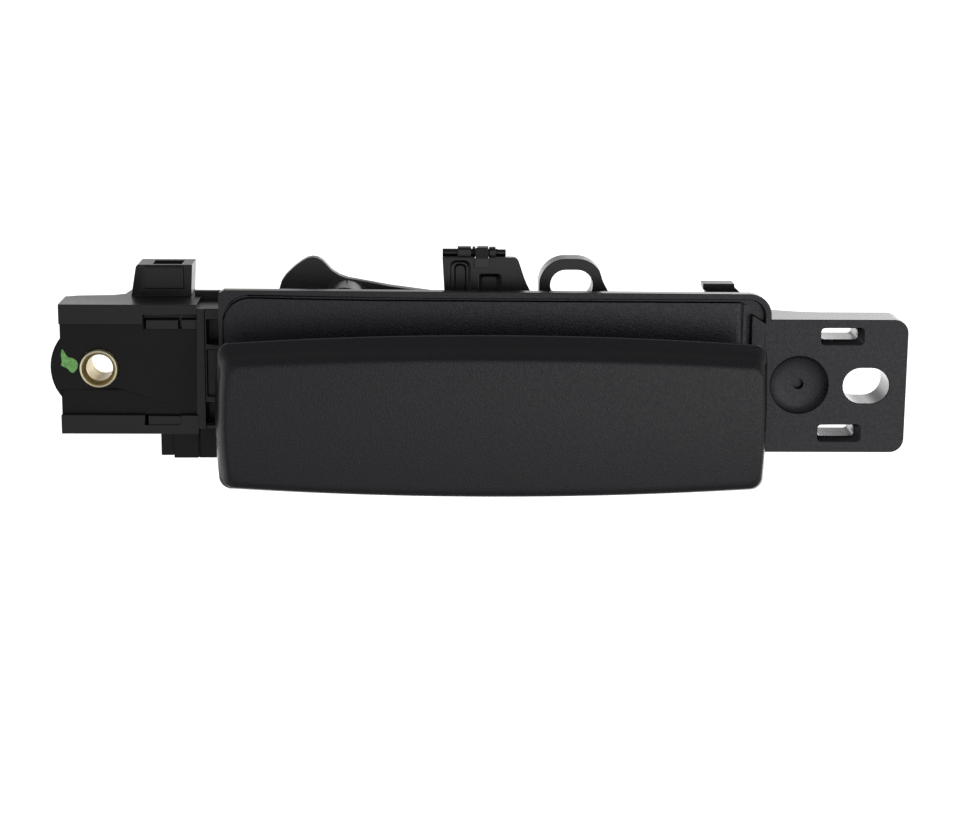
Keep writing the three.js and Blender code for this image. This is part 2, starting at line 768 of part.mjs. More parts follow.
// Outline with arched long sides and slightly bowed ends; fixed counts, so rings join up.
function paddleRing({ xl, xr, zt, ztm, zb, zbm, r, y }) {
  const out = [];
  const c = (xl + xr) / 2;
  const h = (xr - xl) / 2;
  const zc = (zt + zb) / 2;
  const hz = (zt - zb) / 2;
  const top = (x) => zt + (ztm - zt) * (1 - ((x - c) / h) ** 2);
  const bot = (x) => zb + (zbm - zb) * (1 - ((x - c) / h) ** 2);
  const left = (z) => xl + 0.9 * ((z - zc) / hz) ** 2;
  const right = (z) => xr - 0.5 * ((z - zc) / hz) ** 2;
  const n = 12;
  const m = 5;
  for (let i = 0; i <= n; i++) {
    const x = xl + r + ((xr - xl - 2 * r) * i) / n;
    out.push([x, bot(x)]);
  }
  const bz = bot(xr - r),
    tz = top(xr - r);
  for (const [a, b] of arc(right(bz + r) - r, bz + r, r, -90, 0, 5).slice(1)) out.push([a, b]);
  for (let i = 1; i < m; i++) {
    const z = bz + r + ((tz - bz - 2 * r) * i) / m;
    out.push([right(z), z]);
  }
  for (const [a, b] of arc(right(tz - r) - r, tz - r, r, 0, 90, 5)) out.push([a, b]);
  for (let i = 1; i <= n; i++) {
    const x = xr - r - ((xr - xl - 2 * r) * i) / n;
    out.push([x, top(x)]);
  }
  const lb = bot(xl + r),
    lt = top(xl + r);
  for (const [a, b] of arc(left(lt - r) + r, lt - r, r, 90, 180, 5).slice(1)) out.push([a, b]);
  for (let i = 1; i < m; i++) {
    const z = lt - r - ((lt - lb - 2 * r) * i) / m;
    out.push([left(z), z]);
  }
  for (const [a, b] of arc(left(lb + r) + r, lb + r, r, 180, 270, 5).slice(0, 5)) out.push([a, b]);
  return out.map(([x, z]) => [x, typeof y === "function" ? y(x, z) : y, z]);
}
const P = [
  { xl: 31.5, xr: 159.7, zt: 10.4, ztm: 12.7, zb: -22.85, zbm: -24.9, r: 2.6, y: -33.6 },
  { xl: 30.6, xr: 160.5, zt: 11.0, ztm: 13.3, zb: -23.55, zbm: -25.65, r: 3.0, y: -36.8 },
  { xl: 30.75, xr: 160.4, zt: 10.7, ztm: 13.0, zb: -23.45, zbm: -25.55, r: 3.0, y: -37.5 },
  { xl: 31.3, xr: 160.1, zt: 9.0, ztm: 11.0, zb: -23.15, zbm: -25.2, r: 3.0, y: (x, z) => faceY(x, z) + 2.6 },
  { xl: 32.1, xr: 159.6, zt: 7.5, ztm: 9.4, zb: -22.5, zbm: -24.55, r: 3.0, y: (x, z) => faceY(x, z) + 0.95 },
  { xl: 33.1, xr: 159.0, zt: 6.2, ztm: 8.2, zb: -21.4, zbm: -23.4, r: 3.0, y: (x, z) => faceY(x, z) + 0.12 },
  { xl: 34.4, xr: 158.0, zt: 4.6, ztm: 6.6, zb: -19.9, zbm: -21.8, r: 2.8, y: faceY },
];
{
  const rings = P.map(paddleRing);
  const inner = rings[rings.length - 1];
  for (const k of [0.8, 0.55, 0.28])
    rings.push(
      inner.map(([x, , z]) => {
        const a = PX + (x - PX) * (k + 0.15 * (1 - k)),
          b = PZ + (z - PZ) * k;
        return [a, faceY(a, b), b];
      }),
    );
  const outer = loft(rings, [PX, -33.6, PZ], [PX, faceY(PX, PZ), PZ]);
  const hollow = [
    { xl: 33.7, xr: 157.5, zt: 8.2, ztm: 10.4, zb: -20.5, zbm: -22.4, r: 1.6, y: -33.0 },
    { xl: 33.5, xr: 157.7, zt: 8.4, ztm: 10.6, zb: -20.7, zbm: -22.6, r: 1.6, y: -36.6 },
    { xl: 34.4, xr: 157.0, zt: 6.0, ztm: 8.0, zb: -20.0, zbm: -21.9, r: 1.6, y: -39.4 },
  ].map(paddleRing);
  let s = cut(outer, loft(hollow, [PX, -33.0, PZ], [PX, -39.4, PZ]));
  for (const x of [62, 129]) {
    s = join(s, cylY(x, -7, 2.6, -40, -36.9, 16));
    s = cut(s, cylY(x, -7, 1.3, -39.6, -36, 12));
  }
  add("paddle_shell", s, TEXTURED, 0.6, 0);
}
// Hinge arm outline in Y and Z: from the backing plate through a low neck, under the pocket's roof, to the eye.
const ARM = [
  [-34.6, -7.4],
  [-28.0, -5.6],
  [-20.0, -1.2],
  [-16.2, 2.3],
  ...arc(HINGE.y, HINGE.z, 3.3, -100, 128, 16),
  [-20.3, 6.0],
  [-24.1, 4.1],
  [-27.2, 7.4],
  [-34.6, 8.0],
];
{
  const plate = [
    { xl: 34.1, xr: 157.1, zt: 7.7, ztm: 9.9, zb: -19.9, zbm: -21.8, r: 1.4, y: -36.5 },
    { xl: 34.2, xr: 157.0, zt: 7.6, ztm: 9.8, zb: -19.8, zbm: -21.7, r: 1.4, y: -34.4 },
  ].map(paddleRing);
  let s = loft(plate, [PX, -36.5, PZ], [PX, -34.4, PZ]);
  s = join(
    s,
    prismX(ARM, ...ARM_X),
    prismX(ARM, ...ARM_X_R),
    prismX(ARM, ...FINGER_X),
    // transfer arm: up behind the pocket, back over the crank's arm, foot down
    prismX(
      [
        [-17.3, 7.4],
        [-15.6, 4.4],
        [-12.2, 3.9],
        [-8.6, 12.0],
        [-8.0, 21.4],
        [-6.4, 21.4],
        [-5.7, 18.15],
        [-5.2, 17.95],
        [-1.9, 17.95],
        [-1.4, 18.2],
        [-1.5, 23.4],
        [-2.1, 24.0],
        [-10.6, 24.0],
        [-11.2, 23.4],
        [-12.2, 13.2],
      ],
      ...FINGER_X,
    ),
    // stiffening ribs and the stubs that meet the bump stops
    box(44.4, 147.6, -34.6, -32.6, -14.6, -13.2),
    box(44.4, 147.6, -34.6, -32.6, 4.6, 6.0),
    box(52.0, 53.4, -34.6, -32.6, -18.4, 6.0),
    box(70.6, 72.0, -34.6, -32.6, -18.4, 6.0),
    box(119.6, 121.0, -34.6, -32.6, -18.4, 6.0),
    box(138.4, 139.8, -34.6, -32.6, -18.4, 6.0),
    cylY(36.6, -9.5, 2.2, -34.6, -26.5, 16),
    cylY(155.2, -9.5, 2.2, -34.6, -26.5, 16),
  );
  s = cut(s, cylX(HINGE.y, HINGE.z, 2.75, 43, 50, 24), cylX(HINGE.y, HINGE.z, 2.75, 142, 149, 24));
  for (const x of [62, 129]) s = cut(s, cylY(x, -7, 1.6, -37, -33, 16));
  add("paddle_backing", s, SMOOTH, 0.45, 0);
}
// screws that hold the shell to the backing
for (const [name, x] of [
  ["paddle_screw_left", 62],
  ["paddle_screw_right", 129],
])
  add(
    name,
    screw(x, -7, -34.1, -39.0, 2.4, 1.5, 1.05),
    STEEL,
    0.35,
    1,
  );
// Pan-head screw along Y: head from the seat backwards, shank forwards, cross recess in the head.
function screw(x, z, seat, tip, headR, headH, shankR) {
  const s = latheY(
    [
      [0, tip],
      [shankR * 0.4, tip],
      [shankR, tip + shankR * 1.3],
      [shankR, seat],
      [headR, seat],
      [headR, seat + headH * 0.45],
      [headR * 0.85, seat + headH * 0.8],
      [headR * 0.5, seat + headH],
      [0, seat + headH],
    ],
    x,
    z,
    14,
  );
  const w = headR * 0.16,
    l = headR * 0.58,
    d = headH * 0.55;
  return cut(
    s,
    box(x - l, x + l, seat + headH - d, seat + headH + 1, z - w, z + w),
    box(x - w, x + w, seat + headH - d, seat + headH + 1, z - l, z + l),
  );
}
// ---------------------------------------------------------------- paddle hinge hardware
function hingePin(x0, x1, headAt) {
  const s = cylX(HINGE.y, HINGE.z, 1.5, x0, x1, 24);
  const h = headAt < 0 ? [x0 - 1.0, x0 + 0.1] : [x1 - 0.1, x1 + 1.0];
  return join(s, cylX(HINGE.y, HINGE.z, 2.5, h[0], h[1], 24));
}
add("hinge_pin_left", hingePin(39.6, 60.4, -1), STEEL, 0.3, 1);
add("hinge_pin_right", hingePin(131.6, 152.4, 1), STEEL, 0.3, 1);
for (const [name, a, b] of [
  ["hinge_bush_left", ARM_X[0] - 0.5, ARM_X[1] + 0.3],
  ["hinge_bush_right", ARM_X_R[0] - 0.3, ARM_X_R[1] + 0.5],
])
  add(
    name,
    cut(
      cylX(HINGE.y, HINGE.z, 2.55, a, b, 24),
      cylX(HINGE.y, HINGE.z, 1.7, a - 1, b + 1, 24),
    ),
    0xd8d5c8,
    0.45,
    0,
  );
// push-on retainers: a toothed disc on the pin's inner end
for (const [name, a] of [
  ["pin_retainer_left", 58.2],
  ["pin_retainer_right", 133.2],
]) {
  let s = cut(
    cylX(HINGE.y, HINGE.z, 3.2, a, a + 0.6, 24),
    cylX(HINGE.y, HINGE.z, 1.75, a - 1, a + 2, 24),
  );
  for (let i = 0; i < 3; i++) {
    const g = new THREE.BoxGeometry(2, 0.5, 1.1);
    g.translate(0, 0, 2.3);
    g.rotateX((i * 2 * Math.PI) / 3);
    g.translate(a + 0.3, HINGE.y, HINGE.z);
    s = cut(s, solid(g));
  }
  add(name, s, STEEL, 0.35, 1);
}
// return spring round the left pin: one leg under the arm, one up against the pocket's roof
{
  const pts = [];
  const r = 2.75;
  const turns = 4.5;
  const x0 = 50.1,
    x1 = 55.2;
  pts.push([x0, HINGE.y - 9.4, HINGE.z - 4.9], [x0, HINGE.y - 6, HINGE.z - r - 0.9]);
  const n = Math.round(turns * 12);
  for (let i = 0; i <= n; i++) {
    const a = -Math.PI / 2 + (2 * Math.PI * turns * i) / n;
    pts.push([x0 + ((x1 - x0) * i) / n, HINGE.y + r * Math.cos(a), HINGE.z + r * Math.sin(a)]);
  }
  pts.push([x1, HINGE.y - 3.4, HINGE.z + r + 0.15], [x1, HINGE.y - 5.6, HINGE.z + r + 0.15]);
  add("paddle_return_spring", wire(pts, 0.42, 66, 6), STEEL, 0.3, 1);
}
// rubber bump stops in the pocket panel
for (const [name, x] of [
  ["bump_stop_left", 36.6],
  ["bump_stop_right", 155.2],
])
  add(
    name,
    latheY(
      [
        [0, -26.2],
        [1.6, -26.2],
        [2.3, -25.9],
        [2.6, -25.2],
        [2.6, PANEL_Y - GAP],
        [1.2, PANEL_Y - GAP],
        [1.2, PANEL_BACK_Y + 0.5],
        [0, PANEL_BACK_Y + 0.5],
      ],
      x,
      -9.5,
      24,
    ),
    RUBBER,
    0.8,
    0,
  );

// ---------------------------------------------------------------- bell crank
{
  const c = CRANK;
  const outline = [
    [92.2, 16.3],
    [81.4, 17.9],
    [70.9, 19.3],
    [64.7, 20.45],
    [60.74, 21.15],
    [58.6, 21.95],
    [56.7, 23.2],
    [55.4, 24.65],
    [54.4, 25.65],
    [53.3, 26.25],
    [52.0, 26.45],
    [50.7, 26.2],
    [49.4, 25.5],
    [47.6, 24.2],
    [45.4, 22.1],
    [44.3, 20.5],
    [43.7, 18.5],
    [43.6, 16.6],
    [44.6, 14.6],
    [47.0, 12.4],
    [51.0, 10.4],
    [52.6, 7.0],
    [52.2, 1.0],
    ...arc(CLIP_AT.x, CLIP_AT.z, 4.0, 170, 370, 12),
    [60.6, 3.0],
    [63.8, 9.2],
    [69.0, 12.4],
    [80.0, 13.6],
    [91.6, 13.2],
    [92.8, 14.4],
    [92.8, 15.8],
  ];
  let s = join(
    prismY(outline, c.y0, c.y1),
    cylY(c.x, c.z, c.hubR, c.hubY, c.y0 + 0.1, 40),
    cylY(c.x - 0.5, c.z - 0.4, 5.5, c.hubY, c.y0 + 0.1, 44).intersect(
      box(c.x - 7, c.x + 7, c.hubY - 1, 1, c.z - 0.4, c.z + 7),
    ),
    prismY(
      [
        [73.6, 17.9],
        [84, 16.3],
        [84, 15.1],
        [73.6, 15.3],
      ],
      c.y1 - 0.1,
      1.6,
    ),
  );
  s = cut(
    s,
    cylY(c.x, c.z, c.bore, c.hubY - 1, c.y1 + 1, 28),
    cylY(CLIP_AT.x, CLIP_AT.z, 2.1, c.y0 - 1, c.y1 + 1, 24),
  );
  add("bell_crank", s, SMOOTH, 0.42, 0);
}
add(
  "bell_crank_pin",
  cut(
    cylY(CRANK.x, CRANK.z, CRANK_PIN_R, -18.3, 7.2, 28),
    cylY(CRANK.x, CRANK.z, 3, 5.6, 6.3, 28).subtract(cylY(CRANK.x, CRANK.z, 1.5, 5, 7, 28)),
  ),
  STEEL,
  0.3,
  1,
);
add(
  "bell_crank_washer",
  cut(cylY(CRANK.x, CRANK.z, 4.3, 4.7, 5.3, 28), cylY(CRANK.x, CRANK.z, 2.2, 4, 6, 28)),
  STEEL,
  0.35,
  1,
);
// retaining clip: a C with three lugs in the pin's groove
{
  let s = cut(
    cylY(CRANK.x, CRANK.z, 3.7, 5.7, 6.2, 32),
    cylY(CRANK.x, CRANK.z, 2.5, 5, 7, 28),
    box(CRANK.x - 1.55, CRANK.x + 1.55, 5, 7, CRANK.z - 5, CRANK.z),
  );
  const lug = (deg) => {
    const g = new THREE.BoxGeometry(1.0, 0.5, 1.6);
    g.translate(0, 5.95, 2.6);
    g.rotateY((deg * Math.PI) / 180);
    g.translate(CRANK.x, 0, CRANK.z);
    return solid(g);
  };
  s = join(s, lug(0), lug(125), lug(-125));
  s = cut(s, cylY(CRANK.x, CRANK.z, 1.8, 5, 7, 28));
  add("bell_crank_clip", s, STEEL, 0.35, 1);
}
{
  const pts = [];
  const r = 3.1;
  const turns = 3.5;
  const y0 = 0.95,
    y1 = 4.0;
  const n = Math.round(turns * 12);
  pts.push([CRANK.x + 8.6, y0, CRANK.z - r - 0.3], [CRANK.x + 5.0, y0, CRANK.z - r - 0.1]);
  for (let i = 0; i <= n; i++) {
    const a = -Math.PI / 2 - (2 * Math.PI * turns * i) / n;
    pts.push([CRANK.x + r * Math.cos(a), y0 + ((y1 - y0) * i) / n, CRANK.z + r * Math.sin(a)]);
  }
  pts.push([CRANK.x + 4.2, y1, CRANK.z + r - 0.3], [CRANK.x + 9.5, y1, CRANK.z + 0.6]);
  add("bell_crank_spring", wire(pts, 0.38, 56, 6), STEEL, 0.3, 1);
}
// rod clip: stem with a snap head, and a body with the rod's bore and its latch
{
  const { x, z } = CLIP_AT;
  let s = join(
    cylY(x, z, 1.85, -4.6, 1.0, 20),
    cylY(x, z, 2.7, -4.85, -3.75, 20, 2.2),
    box(x - 3.6, x + 3.6, 0.6, 5.6, z - 3.4, z + 3.4),
    box(x - 5.2, x - 3.4, 1.2, 3.0, z - 2.2, z + 6.2),
    box(x - 5.2, x - 2.0, 1.2, 3.0, z + 4.6, z + 6.2),
  );
  s = cut(s, cylZ(x, 3.2, 1.25, z - 5, z + 5, 16), box(x - 0.9, x + 0.9, 3.6, 6, z - 5, z + 5));
  add("rod_clip", s, 0xe8e6dc, 0.5, 0);
}

// ---------------------------------------------------------------- side-impact lever
add(
  "cross_pin",
  join(
    cylX(CROSS.y, CROSS.z, CROSS.r, 84.0, 97.4, 20),
    cylX(CROSS.y, CROSS.z, 0.86, 97.2, 99.4, 20),
  ),
  0x3a3a3d,
  0.35,
  1,
);
{
  // hub, hook in the notch, and the arm to the counterweight
  let s = join(
    cylX(CROSS.y, CROSS.z, 1.6, 92.45, 95.1, 24),
    prismX(
      [
        [-13.9, 26.2],
        [-11.0, 26.2],
        [-8.7, 27.6],
        [-8.7, 29.4],
        [-9.6, 30.4],
        [-12.4, 30.4],
        [-13.6, 29.5],
        [-14.0, 28.4],
      ],
      92.45,
      95.08,
    ),
    prismX(
      [
        [-14.7, 26.2],
        [-12.5, 26.2],
        [-12.5, 30.35],
        [-13.6, 29.5],
        [-14.7, 28.2],
      ],
      91.97,
      95.08,
    ),
    box(91.7, 95.32, -15.0, -14.6, 25.7, 28.1),
    prismX(
      [
        [-11.8, 28.0],
        [-8.9, 28.6],
        [-1.6, 24.6],
        [-1.4, 21.4],
        [-3.4, 19.6],
        [-6.8, 20.2],
      ],
      92.2,
      94.8,
    ),
    cylX(-4.4, 22.6, 1.5, 94.6, 103.0, 16),
  );
  s = cut(s, cylX(CROSS.y, CROSS.z, CROSS.r + 0.2, 90, 96, 20));
  add("impact_lever", s, SMOOTH, 0.45, 0);
}
add(
  "counterweight",
  cut(
    cylX(-4.4, 22.6, 3.1, 97.5, 102.4, 28),
    cylX(-4.4, 22.6, 1.8, 94, 104, 16),
  ),
  ZINC,
  0.5,
  1,
);
{
  const pts = [];
  const r = 1.45;
  const turns = 1.5;
  const x0 = 91.28,
    x1 = 91.86;
  const n = Math.round(turns * 14);
  pts.push([x0, CROSS.y + 1.0, CROSS.z - r - 3.6], [x0, CROSS.y + 0.6, CROSS.z - r - 0.9]);
  for (let i = 0; i <= n; i++) {
    const a = -Math.PI / 2 - (2 * Math.PI * turns * i) / n;
    pts.push([x0 + ((x1 - x0) * i) / n, CROSS.y + r * Math.cos(a), CROSS.z + r * Math.sin(a)]);
  }
  pts.push([x1, CROSS.y + 2.2, CROSS.z + 0.7], [x1, CROSS.y + 5.2, CROSS.z - 0.9]);
  add("impact_lever_spring", wire(pts, 0.17, 34, 6), STEEL, 0.3, 1);
}

// ---------------------------------------------------------------- case screws
SCREWS.forEach(([x, z], i) =>
  add("case_screw_" + (i + 1), screw(x, z, PLATE_Y1 + GAP, -13.4, 2.9, 1.9, 1.1), STEEL, 0.35, 1),
);

export default group;
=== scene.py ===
import json
import math

import bmesh
import bpy
from mathutils import Matrix, Vector
from mathutils.bvhtree import BVHTree


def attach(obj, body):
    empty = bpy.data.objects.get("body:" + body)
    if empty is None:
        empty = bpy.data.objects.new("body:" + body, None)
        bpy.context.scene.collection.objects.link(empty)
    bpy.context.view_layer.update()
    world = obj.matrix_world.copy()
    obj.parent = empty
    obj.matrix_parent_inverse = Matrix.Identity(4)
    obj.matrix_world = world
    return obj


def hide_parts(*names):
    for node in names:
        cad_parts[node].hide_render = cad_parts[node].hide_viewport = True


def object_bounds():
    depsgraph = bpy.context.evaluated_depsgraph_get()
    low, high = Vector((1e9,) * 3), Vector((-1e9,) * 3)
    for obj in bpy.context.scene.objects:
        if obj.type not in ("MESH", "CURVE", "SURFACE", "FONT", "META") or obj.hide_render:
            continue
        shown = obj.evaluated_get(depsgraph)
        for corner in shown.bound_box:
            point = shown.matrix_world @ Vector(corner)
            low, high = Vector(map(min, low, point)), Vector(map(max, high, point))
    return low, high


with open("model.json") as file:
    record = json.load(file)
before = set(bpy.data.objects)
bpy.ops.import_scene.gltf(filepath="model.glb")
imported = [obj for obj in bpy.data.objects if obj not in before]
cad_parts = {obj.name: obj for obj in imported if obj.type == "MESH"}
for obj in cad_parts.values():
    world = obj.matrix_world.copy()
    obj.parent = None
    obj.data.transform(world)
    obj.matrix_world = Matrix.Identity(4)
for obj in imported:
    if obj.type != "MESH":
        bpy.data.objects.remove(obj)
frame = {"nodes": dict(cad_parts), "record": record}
CAD_BOX = [list(v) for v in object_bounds()]
MM = 0.001
scene = bpy.context.scene
NODES = frame["nodes"]

# ---------------------------------------------------------------- camera
cam_data = bpy.data.cameras.new("camera")
cam = bpy.data.objects.new("camera", cam_data)
scene.collection.objects.link(cam)
cam_data.sensor_fit = "HORIZONTAL"
cam_data.sensor_width = 36.0
cam_data.lens = 83.25
cam_data.clip_start, cam_data.clip_end = 0.01, 20.0
right = Vector((0.9997, -0.0225, 0.0077)).normalized()
fwd = Vector((0.0236, 0.9765, -0.2143)).normalized()
up = right.cross(fwd).normalized()
right = fwd.cross(up).normalized()
cam.matrix_world = Matrix((
    (right.x, up.x, -fwd.x, 0.08047),
    (right.y, up.y, -fwd.y, -0.54676),
    (right.z, up.z, -fwd.z, 0.10752),
    (0, 0, 0, 1),
))
scene.camera = cam
scene.view_settings.view_transform = "Standard"
scene.view_settings.look = "None"
scene.view_settings.exposure = 0.0


# ---------------------------------------------------------------- material tools
class Mat:
    """A Principled material and short calls for the nodes that feed it."""

    def __init__(self, name, base, rough, metal=0.0, ior=1.5, **sockets):
        self.m = bpy.data.materials.new(name)
        self.m.use_nodes = True
        self.t = self.m.node_tree
        self.t.nodes.clear()
        self.out = self.t.nodes.new("ShaderNodeOutputMaterial")
        self.p = self.t.nodes.new("ShaderNodeBsdfPrincipled")
        self.t.links.new(self.p.outputs[0], self.out.inputs[0])
        self.p.inputs["Base Color"].default_value = (*base, 1)
        self.p.inputs["Roughness"].default_value = rough
        self.p.inputs["Metallic"].default_value = metal
        self.p.inputs["IOR"].default_value = ior
        for k, v in sockets.items():
            self.p.inputs[k.replace("_", " ")].default_value = v
        self.coord = self.t.nodes.new("ShaderNodeTexCoord")

    def node(self, kind, **props):
        n = self.t.nodes.new(kind)
        for k, v in props.items():
            setattr(n, k, v)
        return n

    def link(self, a, b):
        self.t.links.new(a, b)

    def mapped(self, scale=(1, 1, 1), rotate=(0, 0, 0)):
        n = self.node("ShaderNodeMapping")
        n.inputs["Scale"].default_value = scale
        n.inputs["Rotation"].default_value = rotate
        self.link(self.coord.outputs["Object"], n.inputs["Vector"])
        return n.outputs["Vector"]

    def noise(self, scale, detail=2.0, rough=0.5, vector=None, distortion=0.0):
        n = self.node("ShaderNodeTexNoise")
        n.inputs["Scale"].default_value = scale
        n.inputs["Detail"].default_value = detail
        n.inputs["Roughness"].default_value = rough
        n.inputs["Distortion"].default_value = distortion
        self.link(vector or self.coord.outputs["Object"], n.inputs["Vector"])
        return n.outputs["Fac"]

    def voronoi(self, scale, vector=None, feature="F1"):
        n = self.node("ShaderNodeTexVoronoi", feature=feature)
        n.inputs["Scale"].default_value = scale
        self.link(vector or self.coord.outputs["Object"], n.inputs["Vector"])
        return n.outputs["Distance"]

    def math(self, op, a, b=0.0, clamp=False):
        n = self.node("ShaderNodeMath", operation=op, use_clamp=clamp)
        for i, v in enumerate((a, b)):
            if isinstance(v, (int, float)):
                n.inputs[i].default_value = v
            else:
                self.link(v, n.inputs[i])
        return n.outputs[0]

    def span(self, value, a, b, lo, hi, smooth=False):
        n = self.node("ShaderNodeMapRange", interpolation_type="SMOOTHSTEP" if smooth else "LINEAR")
        n.clamp = True
        for i, v in zip(("From Min", "From Max", "To Min", "To Max"), (a, b, lo, hi)):
            n.inputs[i].default_value = v
        self.link(value, n.inputs["Value"])
        return n.outputs["Result"]

    def mix(self, fac, c1, c2):
        n = self.node("ShaderNodeMix", data_type="RGBA")
        for sock, v in ((n.inputs[6], c1), (n.inputs[7], c2)):
            if isinstance(v, tuple):
                sock.default_value = (*v[:3], 1)
            else:
                self.link(v, sock)
        self.link(fac, n.inputs[0])
        return n.outputs[2]

    def color(self, out):
        self.link(out, self.p.inputs["Base Color"])

    def rough(self, out):
        self.link(out, self.p.inputs["Roughness"])

    def bump(self, height, strength, distance, chain=None):
        n = self.node("ShaderNodeBump")
        n.inputs["Strength"].default_value = strength
        n.inputs["Distance"].default_value = distance
        self.link(height, n.inputs["Height"])
        if chain is not None:
            self.link(chain, n.inputs["Normal"])
        return n.outputs["Normal"]

    def normal(self, out):
        self.link(out, self.p.inputs["Normal"])

    def front(self, lo=0.45, hi=0.75):
        """1 on faces that look out of the door, 0 on walls and backs (by the piece's own normal)."""
        n = self.node("ShaderNodeSeparateXYZ")
        self.link(self.coord.outputs["Normal"], n.inputs[0])
        return self.span(self.math("MULTIPLY", n.outputs[1], -1.0), lo, hi, 0, 1, True)

    def blend(self, fac, a, b):
        """a where fac is 0, b where it is 1; numbers or outputs."""
        n = self.node("ShaderNodeMix", data_type="FLOAT")
        for sock, v in ((n.inputs[2], a), (n.inputs[3], b)):
            if isinstance(v, (int, float)):
                sock.default_value = v
            else:
                self.link(v, sock)
        self.link(fac, n.inputs[0])
        return n.outputs[0]


def textured_black(name, rough_front, painted_light_gain):
    """Spark-eroded mould texture on the faces that are seen from outside; plain drawn walls elsewhere."""
    m = Mat(name, (0.0070, 0.0068, 0.0086), 0.45)
    face = m.front()
    grain = m.noise(2500, 3, 0.62)
    pits = m.voronoi(1900)
    cloud = m.noise(34, 3, 0.5)
    # painted_light_gain scales the front colours; above 1 it paints light into a lighter copy of the same black
    dark = tuple(c * painted_light_gain for c in (0.0044, 0.0043, 0.0072))
    pale = tuple(c * painted_light_gain for c in (0.0060, 0.0059, 0.0094))
    tone = m.mix(m.span(cloud, 0.3, 0.7, 0, 1), dark, pale)
    speck = m.mix(m.span(grain, 0.38, 0.70, 0, 1), tone, tuple(c * painted_light_gain for c in (0.0115, 0.0112, 0.0170)))
    m.color(m.mix(face, (0.0060, 0.0060, 0.0068), speck))
    m.rough(m.blend(face, 0.26, m.span(m.noise(1100, 2), 0.3, 0.7, rough_front - 0.05, rough_front + 0.05)))
    h = m.math("ADD", m.math("MULTIPLY", grain, 0.8), m.math("MULTIPLY", pits, 0.5))
    m.normal(m.bump(m.math("MULTIPLY", h, face), 0.5, 0.00009))
    return m.m


def smooth_black(name, base, lo, hi):
    """Moulded plastic straight from a polished tool: satin, with faint flow marks and handling scuffs."""
    m = Mat(name, base, 0.35)
    flow = m.noise(30, 4, 0.55, m.mapped((0.35, 1.0, 2.2)), 0.6)
    fine = m.noise(1500, 2)
    lighter = tuple(c * 1.35 + 0.0012 for c in base)
    m.color(m.mix(m.span(flow, 0.35, 0.7, 0, 1), base, lighter))
    scuff = m.noise(260, 5, 0.65, m.mapped((3.0, 1.0, 0.5), (0, 0.35, 0)))
    r = m.math("ADD", m.span(flow, 0.3, 0.7, lo, hi), m.span(scuff, 0.55, 0.75, 0.0, 0.09))
    m.rough(r)
    m.normal(m.bump(m.math("ADD", m.math("MULTIPLY", fine, 0.4), m.math("MULTIPLY", flow, 1.2)), 0.12, 0.00005))
    return m.m


def glass_filled():
    m = Mat("glass_filled_black", (0.0135, 0.0133, 0.0145), 0.4)
    fibre = m.noise(700, 4, 0.7, m.mapped((0.25, 1.0, 1.4)), 0.8)
    m.color(m.mix(m.span(fibre, 0.45, 0.75, 0, 1), (0.0240, 0.0236, 0.0262), (0.0360, 0.0350, 0.0385)))
    m.rough(m.span(fibre, 0.3, 0.7, 0.32, 0.44))
    m.normal(m.bump(fibre, 0.15, 0.00005))
    return m.m


def brass():
    """Turned brass: rings of tool marks about the sleeve's own axis, and a little tarnish; the lip is painted lighter
    as a highlight and the bore painted darker as shade.
    """
    m = Mat("turned_brass", (0.76, 0.63, 0.33), 0.2, 1.0)
    s = m.node("ShaderNodeSeparateXYZ")
    m.link(m.coord.outputs["Object"], s.inputs[0])
    radius = m.math("SQRT", m.math("ADD", m.math("MULTIPLY", s.outputs[0], s.outputs[0]), m.math("MULTIPLY", s.outputs[2], s.outputs[2])))
    c = m.node("ShaderNodeCombineXYZ")
    m.link(radius, c.inputs[0])
    m.link(s.outputs[1], c.inputs[1])
    marks = m.noise(9000, 2, 0.5, c.outputs[0])
    tarnish = m.noise(420, 3)
    # inside the bore the colour is painted darker as shade; the lip is painted lighter as a highlight
    bore = m.span(radius, 0.00385, 0.00425, 1, 0, True)
    lip_painted_highlight = m.mix(m.span(tarnish, 0.4, 0.75, 0, 1), (0.98, 0.92, 0.66), (0.90, 0.80, 0.52))
    bore_painted_shade = m.mix(m.span(tarnish, 0.35, 0.7, 0, 1), (0.60, 0.49, 0.24), (0.44, 0.34, 0.15))
    m.color(m.mix(bore, lip_painted_highlight, bore_painted_shade))
    m.rough(m.math("ADD", m.span(marks, 0.3, 0.7, 0.26, 0.36), m.math("MULTIPLY", bore, 0.08)))
    m.p.inputs["Metallic"].default_value = 0.72
    m.normal(m.bump(marks, 0.25, 0.00002))
    return m.m


def steel(name, base, lo, hi, metal=1.0):
    m = Mat(name, base, (lo + hi) / 2, metal)
    drawn = m.noise(3200, 3, 0.6, m.mapped((1.0, 0.25, 1.0)))
    blotch = m.noise(300, 4, 0.6)
    m.color(m.mix(m.span(blotch, 0.35, 0.7, 0, 1), base, tuple(c * 0.82 for c in base)))
    m.rough(m.math("ADD", m.span(blotch, 0.3, 0.7, lo, hi), m.span(drawn, 0.3, 0.7, -0.03, 0.05)))
    m.normal(m.bump(drawn, 0.12, 0.00002))
    return m.m


def acetal():
    m = Mat("natural_acetal", (0.74, 0.72, 0.64), 0.38, Subsurface_Weight=0.25, Subsurface_Scale=0.002)
    m.p.inputs["Subsurface Radius"].default_value = (1.0, 0.85, 0.6)
    cloud = m.noise(260, 3)
    m.color(m.mix(m.span(cloud, 0.35, 0.7, 0, 1), (0.76, 0.74, 0.67), (0.69, 0.67, 0.58)))
    m.rough(m.span(m.noise(1400, 2), 0.3, 0.7, 0.33, 0.44))
    m.normal(m.bump(m.noise(2200, 2), 0.08, 0.00003))
    return m.m


